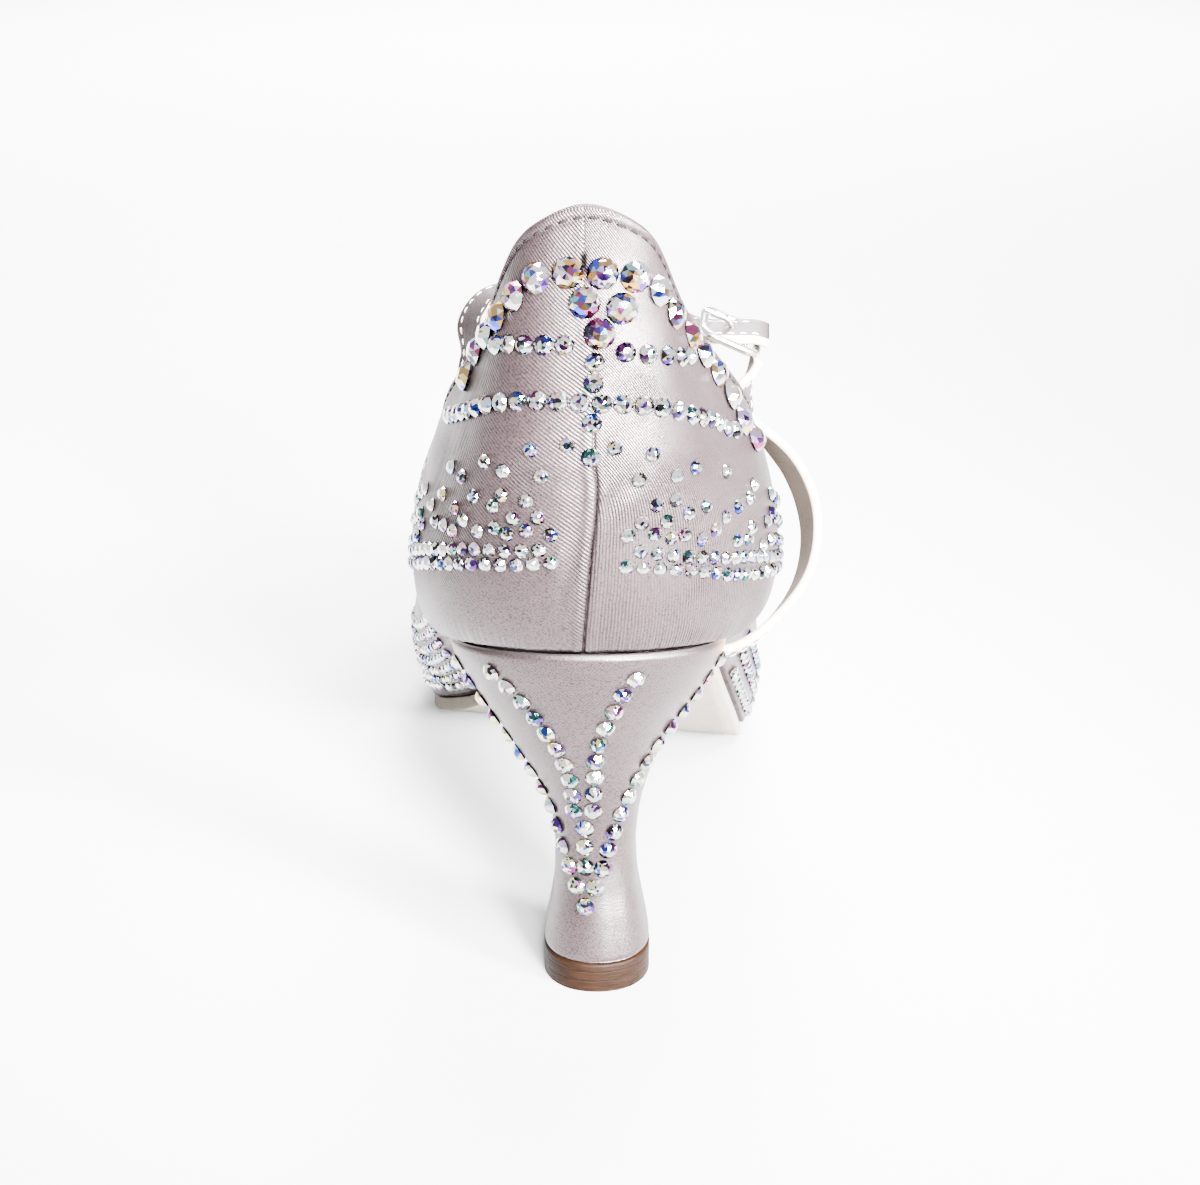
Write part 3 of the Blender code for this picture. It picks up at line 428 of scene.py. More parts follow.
PROFILE_TABLE = columns(PROFILE, PROFILE_COLUMNS)
SEAT_LINE = Rise(PROFILE_TABLE["along"], PROFILE_TABLE["seat"])
SPRING_LINE = Rise(PROFILE_TABLE["along"], PROFILE_TABLE["spring"])
WALL_TABLE = columns(WALLS, WALL_COLUMNS)
WALL_TABLE["facing"] = WALL_TABLE["facing"] + 90.0 - 360.0 * WALL_TABLE["turn"]
WALL_LINES = {name: Loop(WALL_TABLE["turn"], WALL_TABLE[name]) for name in WALL_COLUMNS[1:]}
HEEL_TABLE = columns(HEEL_SECTIONS, HEEL_COLUMNS)
HEEL_LINES = {name: Rise(HEEL_TABLE["down"], HEEL_TABLE[name]) for name in HEEL_COLUMNS[1:]}
SEAM_LINE = Rise(*columns(SEAM, SEAM_COLUMNS).values())


def sole_top(x, y):
    """Height of the sole top over a plan point; the ball line runs askew."""
    share = y / SHOE_LENGTH
    weight = ease(0.27, 0.49, share) * (1.0 - ease(0.76, 0.96, share))
    share = share + BALL_SKEW * weight * (x + 0.05 * BALL_WIDTH) / SHOE_LENGTH
    return (OUTSOLE_THICKNESS + SEAT_LINE(share) * (SEAT_HEIGHT - OUTSOLE_THICKNESS)
            + SPRING_LINE(share) * TOE_SPRING)


def sole_points(x, y, lift):
    """Points at set distances square to the sole top."""
    step = 0.25 * MM
    dx = (sole_top(x + step, y) - sole_top(x - step, y)) / (2.0 * step)
    dy = (sole_top(x, y + step) - sole_top(x, y - step)) / (2.0 * step)
    normal = unit(lay(-dx, -dy, 1.0))
    return lay(x, y, sole_top(x, y)) + normal * np.asarray(lift)[..., None]


def feather(u, inset=0.0):
    """Plan points on the feather line, moved in by the inset."""
    x = WALL_LINES["edge_x"](u) * BALL_WIDTH
    y = WALL_LINES["edge_y"](u) * SHOE_LENGTH
    step = 0.002
    ax = (WALL_LINES["edge_x"](u + step) - WALL_LINES["edge_x"](u - step)) * BALL_WIDTH
    ay = (WALL_LINES["edge_y"](u + step) - WALL_LINES["edge_y"](u - step)) * SHOE_LENGTH
    size = np.hypot(ax, ay)
    return x - ay / size * inset, y + ax / size * inset


def wall(u, t):
    """Outer face of the upper: u round from the back seam, t up from feather line to topline."""
    u, t = np.broadcast_arrays(np.asarray(u, dtype=float), np.asarray(t, dtype=float))
    x, y = feather(u)
    low = lay(x, y, sole_top(x, y) + SEAM_GAP)
    rise = WALL_LINES["rise"](u) * COUNTER_HEIGHT
    high = lay(WALL_LINES["top_x"](u) * BALL_WIDTH, WALL_LINES["top_y"](u) * SHOE_LENGTH,
               low[..., 2] + rise)
    angle = np.radians(WALL_LINES["facing"](u) - 90.0 + 360.0 * np.mod(u, 1.0))
    out = lay(np.cos(angle), np.sin(angle), 0.0)
    first = low + out * (WALL_LINES["low_out"](u) * BALL_WIDTH)[..., None]
    first[..., 2] += WALL_LINES["low_up"](u) * rise
    second = high + out * (WALL_LINES["high_out"](u) * BALL_WIDTH)[..., None]
    second[..., 2] -= WALL_LINES["high_down"](u) * rise
    t = t[..., None]
    s = 1.0 - t
    return low * s ** 3 + first * (3.0 * s * s * t) + second * (3.0 * s * t * t) + high * t ** 3


def wall_out(u, t):
    """Outward direction of the upper's outer face."""
    step = 0.004
    u, t = np.broadcast_arrays(np.asarray(u, dtype=float), np.asarray(t, dtype=float))
    low = np.maximum(t - step, 0.0)
    high = np.minimum(t + step, 1.0)
    along = wall(u + step, t) - wall(u - step, t)
    up = wall(u, high) - wall(u, low)
    return unit(np.cross(along, up))


def heel_face(down, degrees):
    """Outer face of the heel: down from seat to tip, round from the middle of the back."""
    down, degrees = np.broadcast_arrays(np.asarray(down, dtype=float),
                                        np.asarray(degrees, dtype=float))
    half = HEEL_LINES["half_width"](down) * SEAT_WIDTH
    back = HEEL_LINES["back"](down) * BREAST_PLACE
    front = HEEL_LINES["front"](down) * BREAST_PLACE
    angle = np.radians(degrees)
    side = np.sin(angle)
    along = -np.cos(angle)
    power = 2.0 / np.where(along < 0.0, 2.15, HEEL_LINES["squareness"](down))
    widest = back + np.minimum(half * 1.04, 0.55 * (front - back))
    reach = np.where(along < 0.0, widest - back, front - widest)
    x = half * np.sign(side) * np.abs(side) ** power + HEEL_LINES["shift"](down) * SEAT_WIDTH
    y = widest + np.sign(along) * np.abs(along) ** power * reach
    level = sole_top(np.zeros_like(back), back)
    top = level + (sole_top(x, y) - level) * HEEL_LINES["tilt"](down)
    tip_top = HEEL_TIP_HEIGHT + SEAM_GAP
    return lay(x, y, tip_top + (top - tip_top) * (1.0 - down))


def heel_out(down, degrees):
    """Outward direction of the heel's face."""
    step = 0.004
    low = np.maximum(np.asarray(down, dtype=float) - step, 0.0)
    high = np.minimum(np.asarray(down, dtype=float) + step, 1.0)
    degrees = np.asarray(degrees, dtype=float)
    round_way = heel_face(down, degrees + 1.0) - heel_face(down, degrees - 1.0)
    return unit(np.cross(heel_face(high, degrees) - heel_face(low, degrees), round_way))


def strap_place(across, along, level):
    """Point from a strap row: level runs up from just under the sole."""
    y = along * SHOE_LENGTH
    under = float(sole_top(0.0, y)) - 1.2 * (OUTSOLE_THICKNESS + STRAP_THICKNESS)
    return np.array((across * BALL_WIDTH, y, under + level * COUNTER_HEIGHT))


def buckle_axes():
    """Middle of the buckle with its long, wide and outward directions."""
    fall = math.radians(BUCKLE_FALL)
    tip = math.radians(BUCKLE_TIP_BACK)
    along = np.array((-math.cos(fall), 0.0, math.sin(fall)))
    wide = np.array((0.0, math.cos(tip), math.sin(tip)))
    wide = unit(wide - along * wide.dot(along))
    return strap_place(*BUCKLE_PLACE), along, wide, np.cross(wide, along)


def strap_frames(lengths):
    """Middle, width direction and outward direction of the strap at running lengths.

    Without lengths it gives the strap's whole length.
    """
    points = []
    widths = []
    for across, along, level, lean, turn in STRAP_PATH:
        lean = math.radians(lean)
        turn = math.radians(turn)
        points.append(strap_place(across, along, level))
        widths.append((-math.sin(turn) * math.cos(lean), math.cos(turn) * math.cos(lean),
                       math.sin(lean)))
    middle, long_way, wide, out = buckle_axes()
    for along, above in STRAP_THROUGH:
        points.append(middle + long_way * (along * BUCKLE_LENGTH) + out * (above * BUCKLE_LENGTH))
        widths.append(tuple(wide))
    points = np.array(points)
    places = run_along(points)
    if lengths is None:
        return places[-1]
    middle_line = Path(places, points)
    width_line = Path(places, np.array(widths))
    step = 0.2 * MM
    tangent = unit(middle_line(lengths + step) - middle_line(lengths - step))
    wide = width_line(lengths)
    wide = unit(wide - tangent * np.sum(wide * tangent, axis=-1, keepdims=True))
    return middle_line(lengths), wide, np.cross(tangent, wide)


# ---- pieces ---------------------------------------------------------------------------------

def shoe_shift():
    """Move from the shoe's own lengths to the frame, found from the heel tip's box."""
    low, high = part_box("heel_tip")
    return np.array((0.5 * (low[0] + high[0]), low[1] - HEEL_BACK_AT_TIP, 0.0))


SHIFT = shoe_shift()


def grid_faces(rows, columns, closed):
    """Quads over a grid of points; closed joins the last column to the first."""
    wide = columns if closed else columns - 1
    i, j = np.meshgrid(np.arange(rows - 1), np.arange(wide), indexing="ij")
    k = (j + 1) % columns
    return np.stack((i * columns + j, i * columns + k, (i + 1) * columns + k,
                     (i + 1) * columns + j), axis=-1).reshape(-1, 4)


def capped(rows, columns, turned=False):
    """Faces over a tube of rows, with one face at each end."""
    first = list(range(columns))
    last = [(rows - 1) * columns + k for k in first]
    ends = [first, last[::-1]] if turned else [first[::-1], last]
    return grid_faces(rows, columns, True).tolist() + ends


def make_piece(name, points, faces, finishes, replaced=(), face_finish=None, smooth=True):
    """Object from points in the shoe's lengths, riding on the shoe."""
    mesh = bpy.data.meshes.new(name)
    points = np.asarray(points, dtype=float).reshape(-1, 3) + SHIFT
    mesh.from_pydata(points.tolist(), [], [list(map(int, face)) for face in faces])
    for finish in finishes:
        mesh.materials.append(finish)
    mesh.polygons.foreach_set("use_smooth", [smooth] * len(mesh.polygons))
    if face_finish is not None:
        mesh.polygons.foreach_set("material_index", np.asarray(face_finish, dtype=np.int32))
    mesh.update()
    piece = bpy.data.objects.new(name, mesh)
    bpy.context.scene.collection.objects.link(piece)
    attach(piece, "root")
    if replaced:
        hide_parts(*replaced)
    return piece


def face_out(piece):
    """Turns the faces of a closed piece outward."""
    mesh = piece.data
    mesh.update()
    count = len(mesh.polygons)
    middles = np.empty(count * 3)
    normals = np.empty(count * 3)
    areas = np.empty(count)
    mesh.polygons.foreach_get("center", middles)
    mesh.polygons.foreach_get("normal", normals)
    mesh.polygons.foreach_get("area", areas)
    volume = np.sum(np.sum(middles.reshape(-1, 3) * normals.reshape(-1, 3), axis=1) * areas)
    if volume < 0.0:
        mesh.flip_normals()
    return piece


def set_cloth(piece, coordinates):
    """Second set of surface coordinates, in metres along the cloth, one pair a face corner."""
    layer = piece.data.uv_layers.new(name="cloth")
    layer.data.foreach_set("uv", np.asarray(coordinates, dtype=np.float32).ravel())


def set_mask(piece, name, values):
    """Share from 0 to 1 for each point."""
    layer = piece.data.attributes.new(name, "FLOAT", "POINT")
    layer.data.foreach_set("value", np.asarray(values, dtype=np.float32).ravel())


def corner_values(piece, values):
    """Values for each point handed to the face corners."""
    index = np.empty(len(piece.data.loops), dtype=np.int32)
    piece.data.loops.foreach_get("vertex_index", index)
    return np.asarray(values)[index]


def row_places(places, pitch, face):
    """Evenly spaced places along a smooth line through the given ones."""
    places = np.array(places)
    line = Path(run_along(face(places[:, 0], places[:, 1])), places)
    fine = line(np.linspace(0.0, line.xs[-1], 400))
    run = run_along(face(fine[:, 0], fine[:, 1]))
    count = max(int(round(run[-1] / pitch)), 1)
    marks = np.linspace(0.0, run[-1], count + 1)
    return np.stack((np.interp(marks, run, fine[:, 0]), np.interp(marks, run, fine[:, 1])), axis=1)


# ---- finishes -------------------------------------------------------------------------------

PLY_PITCH = 0.35 * MM
LAYER_PITCH = 1.9 * MM
SCUFF_HEIGHT = 1.6 * MM


class Tone:
    """Socket of a finish; sums on it add Math nodes."""

    def __init__(self, finish, socket):
        self.finish = finish
        self.socket = socket

    def sum(self, operation, *terms):
        """Math node with this socket first."""
        sockets = dict(enumerate((self, *terms)))
        return self.finish.node("ShaderNodeMath", {"operation": operation}, sockets)

    def turned(self, operation, other):
        """Math node with this socket second."""
        return self.finish.node("ShaderNodeMath", {"operation": operation}, {0: other, 1: self})

    def __add__(self, other):
        return self.sum("ADD", other)

    def __radd__(self, other):
        return self.turned("ADD", other)

    def __sub__(self, other):
        return self.sum("SUBTRACT", other)

    def __rsub__(self, other):
        return self.turned("SUBTRACT", other)

    def __mul__(self, other):
        return self.sum("MULTIPLY", other)

    def __rmul__(self, other):
        return self.turned("MULTIPLY", other)

    def __pow__(self, other):
        return self.sum("POWER", other)

    def sine(self):
        """Sine of an angle in radians."""
        return self.sum("SINE")

    def between(self, low, high):
        """Smooth share from 0 at low to 1 at high."""
        return self.finish.node(
            "ShaderNodeMapRange", {"interpolation_type": "SMOOTHSTEP"},
            {"Value": self, "From Min": low, "From Max": high, "To Min": 0.0, "To Max": 1.0})


class Finish:
    """Procedural material with one Principled surface."""

    def __init__(self, name, **constants):
        self.material = bpy.data.materials.new(name)
        self.material.use_nodes = True
        self.tree = self.material.node_tree
        self.surface = self.tree.nodes["Principled BSDF"]
        for socket in self.surface.inputs:
            key = socket.name.lower().replace(" ", "_")
            if key in constants:
                socket.default_value = constants.pop(key)
        if constants:
            raise ValueError(f"{name} has no {sorted(constants)}")

    def node(self, kind, settings=None, sockets=None, out=0):
        """Adds a node, its settings first and then the values or links of its sockets."""
        made = self.tree.nodes.new(kind)
        for key, value in (settings or {}).items():
            setattr(made, key, value)
        for key, value in (sockets or {}).items():
            self.feed(made.inputs[key], value)
        return Tone(self, made.outputs[out])

    def feed(self, socket, value):
        """Sets a socket to a value or links it."""
        if isinstance(value, Tone):
            self.tree.links.new(value.socket, socket)
        elif socket.type == "RGBA" and len(value) == 3:
            socket.default_value = (*value, 1.0)
        else:
            socket.default_value = value

    def mix(self, share, first, second):
        """Colour between two."""
        return self.node("ShaderNodeMix", {"data_type": "RGBA"},
                         {0: share, 6: first, 7: second}, out=2)

    def tinted(self, colour, share, low, high, *layers):
        """Colour between two strengths of one, under layers of further strengths."""
        tint = self.mix(share, scaled(colour, low), scaled(colour, high))
        for share, strength in layers:
            tint = self.mix(share, tint, scaled(colour, strength))
        return tint

    def noise(self, scale, place, detail=3.0, roughness=0.55):
        """Cloudy share of a place."""
        return self.node("ShaderNodeTexNoise", None,
                         {"Vector": place, "Scale": scale, "Detail": detail,
                          "Roughness": roughness})

    def place(self):
        """Point on the shoe, in metres."""
        return self.node("ShaderNodeTexCoord", None, None, out="Object")

    def stretched(self, place, x, y, z):
        """Place with its axes stretched."""
        return self.node("ShaderNodeVectorMath", {"operation": "MULTIPLY"},
                         {0: place, 1: (x, y, z)})

    def part(self, vector, axis):
        """One coordinate of a place."""
        return self.node("ShaderNodeSeparateXYZ", None, {0: vector}, out=axis)

    def mask(self, name):
        """Share stored on the mesh."""
        return self.node("ShaderNodeAttribute", {"attribute_name": name}, None, out="Fac")

    def finished(self, colour, roughness, relief=None, depth=0.0, metallic=None):
        """Links what changes over the surface, and gives the material."""
        changing = {"Base Color": colour, "Roughness": roughness}
        if metallic is not None:
            changing["Metallic"] = metallic
        if relief is not None:
            changing["Normal"] = self.node("ShaderNodeBump", None, {
                "Height": relief, "Distance": depth, "Strength": 1.0})
        for name, value in changing.items():
            self.feed(self.surface.inputs[name], value)
        return self.material


def scaled(colour, share):
    """Colour made darker or lighter."""
    return tuple(min(channel * share, 1.0) for channel in colour)


def chosen(name):
    """Colour from the panel."""
    return tuple(getattr(bpy.context.scene.shoe_looks, name))


def satin(name, line_strength):
    """Satin with twill lines in painted highlight and shade, painted shade from the seam mask,
    cloudy patches of lighter and darker colour and roughness, and a little wear.
    """
    pitch = bpy.context.scene.shoe_looks.twill_pitch
    cloth = chosen("satin")
    made = Finish(name, specular_ior_level=0.60, specular_tint=(1.0, 0.86, 0.88, 1.0))
    place = made.place()
    threads = made.node("ShaderNodeUVMap", {"uv_map": "cloth"})
    # The seam mask holds painted shade: the back seam line in its groove (partly the dark joint
    # itself), the tab's slit, the dip under the folded topline, the band at the feather line and
    # the top of the heel cover.
    seam = made.mask("seam")
    drift = made.noise(260.0, place, 2.0)
    phase = (made.part(threads, "X") + drift * (0.55 * pitch)) * (2.0 * math.pi / pitch)
    line = phase.sine() * 0.5 + 0.5
    slub = made.noise(700.0, made.stretched(threads, 0.25, 1.0, 1.0), 3.0)
    cloud = made.noise(42.0, place, 4.0)
    patch = made.noise(70.0, place, 2.0).between(0.36, 0.60)
    strength = (patch * 0.6 + 0.4) * made.mask("twill") * line_strength
    # The twill is painted light: raised ribs get a painted highlight (light) and the grooves
    # painted shade (dark), scaled by the twill mask.
    dark = (line ** 1.3) * strength
    light = ((1.0 - line) ** 3.0) * strength
    fine = made.noise(2700.0, made.stretched(place, 1.0, 1.0, 1.6), 2.0)
    speck = fine.between(0.5, 0.66)
    tint = made.tinted(cloth, cloud.between(0.35, 0.68), 0.78, 1.25, (light * 0.8, 3.4),
                       (dark, 0.05), (slub.between(0.5, 0.75) * 0.5, 2.2), (speck * 0.6, 0.3),
                       (fine.between(0.50, 0.34) * 0.5, 2.4), (seam, 0.07))
    tint = made.mix(made.mask("wear"), tint, chosen("edge_brown"))
    rough = cloud * 0.12 + dark * 0.45 + seam * 0.4 + fine * 0.1 + 0.20
    relief = (1.0 - dark) * 0.8 + slub * 0.4 + fine * 0.45
    # With the dark base, metallic takes the reflection out of the twill grooves, the seam mask and
    # the specks, which deepens the painted shade there.
    lit = (1.0 - dark * 0.85) * (1.0 - seam * 0.95) * (1.0 - speck * 0.5)
    return made.finished(tint, rough, relief, 0.10 * MM, metallic=1.0 - lit)


def lining_leather(name):
    """Smooth lining leather with fine pores and rubbed patches."""
    leather = chosen("lining")
    made = Finish(name, specular_ior_level=0.25)
    place = made.place()
    cells = made.node("ShaderNodeTexVoronoi", {"feature": "F1"}, {"Vector": place, "Scale": 1300.0})
    cloud = made.noise(45.0, place, 4.0)
    rubbed = made.noise(16.0, place, 3.0).between(0.5, 0.72)
    tint = made.tinted(leather, cloud, 0.86, 1.08, (rubbed * 0.35, 0.72))
    tint = made.mix(cells.between(0.0, 0.5) * 0.25, scaled(leather, 0.7), tint)
    return made.finished(tint, cloud * 0.2 + 0.48, cells * 0.8 + cloud * 0.3, 0.12 * MM)


def suede(name, colour, nap_scale):
    """Napped leather: short fibres lying in patches, rubbed darker where it wears."""
    made = Finish(name, specular_ior_level=0.1, sheen_weight=0.06, sheen_roughness=0.5)
    place = made.place()
    nap = made.noise(nap_scale, made.stretched(place, 1.0, 0.35, 1.0), 5.0, 0.7)
    brushed = made.noise(120.0, made.stretched(place, 1.0, 0.4, 1.0), 3.0)
    worn = made.noise(30.0, place, 4.0).between(0.48, 0.7)
    tint = made.tinted(chosen(colour), nap, 0.72, 1.22, (brushed.between(0.4, 0.65) * 0.5, 0.85),
                       (worn * 0.4, 0.6))
    return made.finished(tint, nap * 0.1 + 0.85, nap + brushed * 0.6, 0.25 * MM)


def cut_edge(name):
    """Pale edge of the strap: grained piping with darker blotches."""
    made = Finish(name, specular_ior_level=0.4)
    place = made.place()
    grain = made.noise(1800.0, place, 3.0)
    blotch = made.noise(160.0, place, 3.0)
    tint = made.tinted(chosen("piping"), grain, 0.75, 1.1, (blotch.between(0.5, 0.7) * 0.3, 0.6))
    return made.finished(tint, blotch * 0.2 + 0.5, grain, 0.1 * MM)


def thread(name):
    """Twisted sewing thread in the colour of its own name."""
    made = Finish(name, specular_ior_level=0.03)
    place = made.place()
    slant = made.part(place, "X") + made.part(place, "Z") + made.part(place, "Y") * 0.6
    # Painted shade and highlight along the twist: darker in the grooves between plies, lighter on
    # their crests, following the bump.
    ply = (slant * (2.0 * math.pi / PLY_PITCH)).sine() * 0.5 + 0.5
    fuzz = made.noise(3000.0, place, 2.0)
    return made.finished(made.tinted(chosen(name), ply, 0.55, 1.15), fuzz * 0.2 + 0.5,
                         ply + fuzz * 0.4, 0.08 * MM)


def tip_leather(name):
    """Stacked leather of the heel tip, stained brown and scuffed near the floor."""
    made = Finish(name, specular_ior_level=0.05)
    place = made.place()
    height = made.part(place, "Z")
    layer = (height * (2.0 * math.pi / LAYER_PITCH)).sine().between(0.86, 1.0)
    fibre = made.noise(700.0, made.stretched(place, 0.5, 0.5, 3.0), 4.0, 0.65)
    blotch = made.noise(110.0, place, 3.0)
    scuff = height.between(SCUFF_HEIGHT, 0.0) * made.noise(500.0, place, 4.0).between(0.42, 0.6)
    tint = made.tinted(chosen("tip_brown"), fibre.between(0.3, 0.7), 0.6, 1.35,
                       (blotch.between(0.5, 0.72) * 0.4, 1.6), (layer * 0.6, 0.35),
                       (scuff * 0.5, 2.6))
    return made.finished(tint, fibre * 0.25 + 0.38, fibre - layer * 0.9, 0.12 * MM)


def polished_metal(name):
    """Silver-toned plating with hairline scratches."""
    made = Finish(name, metallic=1.0)
    place = made.place()
    hair = made.noise(2600.0, made.stretched(place, 0.15, 1.0, 1.0), 2.0)
    cloud = made.noise(220.0, place, 3.0)
    tint = made.mix(cloud, (0.72, 0.72, 0.74), (0.93, 0.93, 0.94))
    return made.finished(tint, hair * 0.12 + cloud * 0.08 + 0.06, hair, 0.01 * MM)


def cut_crystal(name):
    """Foil-backed crystal with painted reflections: each facet shows a colour painted as its
    reflection, and small white specks are painted glints.
    """
    made = Finish(name, coat_weight=0.25, coat_roughness=0.02, coat_ior=1.5, metallic=1.0)
    colour = made.node("ShaderNodeAttribute", {"attribute_name": "facet"}, None, out="Color")
    speck = made.noise(1900.0, made.place(), 2.0)
    tint = made.mix(speck.between(0.62, 0.75) * 0.12, colour, (1.0, 1.0, 1.0))
    return made.finished(tint, speck * 0.06 + 0.03)


def hole_shadow(name):
    """Painted shade for the inside of a punched hole."""
    made = Finish(name, specular_ior_level=0.1)
    fibre = made.noise(1500.0, made.place(), 3.0)
    return made.finished(made.mix(fibre, (0.012, 0.010, 0.009), (0.05, 0.04, 0.035)),
                         fibre * 0.1 + 0.85)


def floor_paper(name):
    """Matt studio paper."""
    made = Finish(name, specular_ior_level=0.2)
    grain = made.noise(60.0, made.place(), 3.0)
    return made.finished(made.tinted(chosen("floor"), grain, 0.985, 1.0), grain * 0.05 + 0.8)


# How each finish is made: the function, and what it takes besides the name.
MAKERS = {
    "upper_satin": (satin, 1.0),
    "heel_satin": (satin, 0.3),
    "strap_satin": (satin, 0.45),
    "lining_leather": (lining_leather,),
    "sole_suede": (suede, "suede", 1600.0),
    "strap_lining": (suede, "strap_lining", 2400.0),
    "cut_edge": (cut_edge,),
    "topline_thread": (thread,),
    "seam_thread": (thread,),
    "strap_thread": (thread,),
    "tip_leather": (tip_leather,),
    "polished_metal": (polished_metal,),
    "cut_crystal": (cut_crystal,),
    "hole_shadow": (hole_shadow,),
    "floor_paper": (floor_paper,),
}
MADE = {}


def look(name):
    """Finish of that name, made once and handed out again."""
    if name not in MADE:
        make, *given = MAKERS[name]
        MADE[name] = make(name, *given)
    return MADE[name]


# ---- small repeated things ------------------------------------------------------------------

# By kind of crystal: roll under which a run of wedges is painted with a pale, or bright,
# reflection, and the share of crystals with a plain pale table, a painted white reflection.
ROLLS = {"large": (0.0, 0.0, 0.0), "small": (0.30, 0.50, 0.30), "row": (0.27, 0.53, 0.15),
         "heel": (0.27, 0.53, 0.15)}


def stitch_run(name, points, outs, length, gap, width, finish):
    """Stitches lying along a line: each a thread that dips in at both ends."""
    points = np.asarray(points)
    run = run_along(points)
    starts = np.arange(0.0, run[-1] - length, length + gap)
    around = 6
    along = 7
    shares = np.linspace(0.0, 1.0, along)
    vertices = []
    faces = []
    block = grid_faces(along, around, True)
    for number, start in enumerate(starts):
        marks = start + shares * length
        middle = np.stack([np.interp(marks, run, points[:, k]) for k in range(3)], axis=1)
        out = unit(np.stack([np.interp(marks, run, outs[:, k]) for k in range(3)], axis=1))
        tangent = unit(np.gradient(middle, axis=0))
        side = unit(np.cross(tangent, out))
        arch = np.sin(math.pi * shares)
        thick = width * (0.45 + 0.55 * arch ** 0.6)
        middle = middle + out * (width * (0.55 * arch - 0.25))[:, None]
        for k in range(along):
            for a in range(around):
                angle = 2.0 * math.pi * a / around
                vertices.append(middle[k] + (side[k] * math.cos(angle)
                                             + out[k] * (0.75 * math.sin(angle))) * 0.5 * thick[k])
        base = number * along * around
        faces.extend((block + base).tolist())
        faces.append([base + a for a in range(around)][::-1])
        faces.append([base + (along - 1) * around + a for a in range(around)])
    return make_piece(name, vertices, faces, [finish])


# Colours painted on the crystals' facets as their reflections: pale and cream for white flashes,
# bright and vivid for coloured flashes, deep for dark reflections; DEEP[0] also paints the shadow
# round each crystal's girdle.
PALE = ((0.96, 0.97, 0.99), (0.90, 0.93, 0.94), (0.97, 0.95, 0.86), (0.88, 0.90, 0.97))
CREAM = ((0.96, 0.92, 0.74), (0.93, 0.88, 0.66), (0.95, 0.94, 0.90), (0.80, 0.85, 0.74))
BRIGHT = ((0.93, 0.80, 0.30), (0.30, 0.68, 0.66), (0.62, 0.46, 0.88), (0.90, 0.88, 0.55),
          (0.48, 0.70, 0.92), (0.88, 0.58, 0.60))
DEEP = ((0.012, 0.010, 0.014), (0.040, 0.010, 0.130), (0.010, 0.030, 0.210), (0.010, 0.075, 0.070),
        (0.090, 0.008, 0.090), (0.020, 0.018, 0.024))
VIVID = ((0.10, 0.02, 0.26), (0.80, 0.42, 0.08), (0.96, 0.96, 0.98), (0.04, 0.07, 0.52),
         (0.95, 0.93, 0.90), (0.28, 0.05, 0.15), (0.92, 0.80, 0.38), (0.60, 0.44, 0.80),
         (0.03, 0.02, 0.05), (0.97, 0.97, 0.98), (0.40, 0.25, 0.10), (0.22, 0.50, 0.52),
         (0.93, 0.94, 0.97))


def wedge_reflections(dice, kind, sides):
    """Painted reflection colour of each wedge of a crystal, in runs that share one colour."""
    pale, bright, _ = ROLLS[kind]
    colours = []
    while len(colours) < sides:
        roll = dice.random()
        if kind == "large":
            run, shade = dice.choice((1, 2, 2, 3)), dice.choice(VIVID)
        elif roll < pale:
            run, shade = dice.choice((2, 3, 4)), dice.choice(CREAM if kind == "heel" else PALE)
        elif roll < bright:
            run, shade = dice.choice((1, 1, 2)), dice.choice(BRIGHT)
        else:
            run, shade = dice.choice((1, 2, 2)), dice.choice(DEEP)
        colours.extend([shade] * run)
    return colours[:sides]


def crystal_shape(sides):
    """Points and facets of a flat-backed cut crystal of diameter one; facets of a wedge adjoin."""
    rings = ((0.47, 0.00, 0.0), (0.50, 0.08, 0.0), (0.385, 0.235, 0.5), (0.235, 0.37, 0.0))
    points = []
    for radius, level, twist in rings:
        for k in range(sides):
            angle = 2.0 * math.pi * (k + twist) / sides
            points.append((radius * math.cos(angle), radius * math.sin(angle), level))
    points.append((0.0, 0.0, 0.395))
    facets = []
    for k in range(sides):
        j = (k + 1) % sides
        facets.append((k, j, sides + j, sides + k))
        facets.append((sides + k, sides + j, 2 * sides + k))
        facets.append((sides + j, 2 * sides + j, 2 * sides + k))
        facets.append((2 * sides + k, 2 * sides + j, 3 * sides + j))
        facets.append((2 * sides + k, 3 * sides + j, 3 * sides + k))
        facets.append((3 * sides + k, 3 * sides + j, 4 * sides))
    facets.append(tuple(range(sides))[::-1])
    return np.array(points), facets


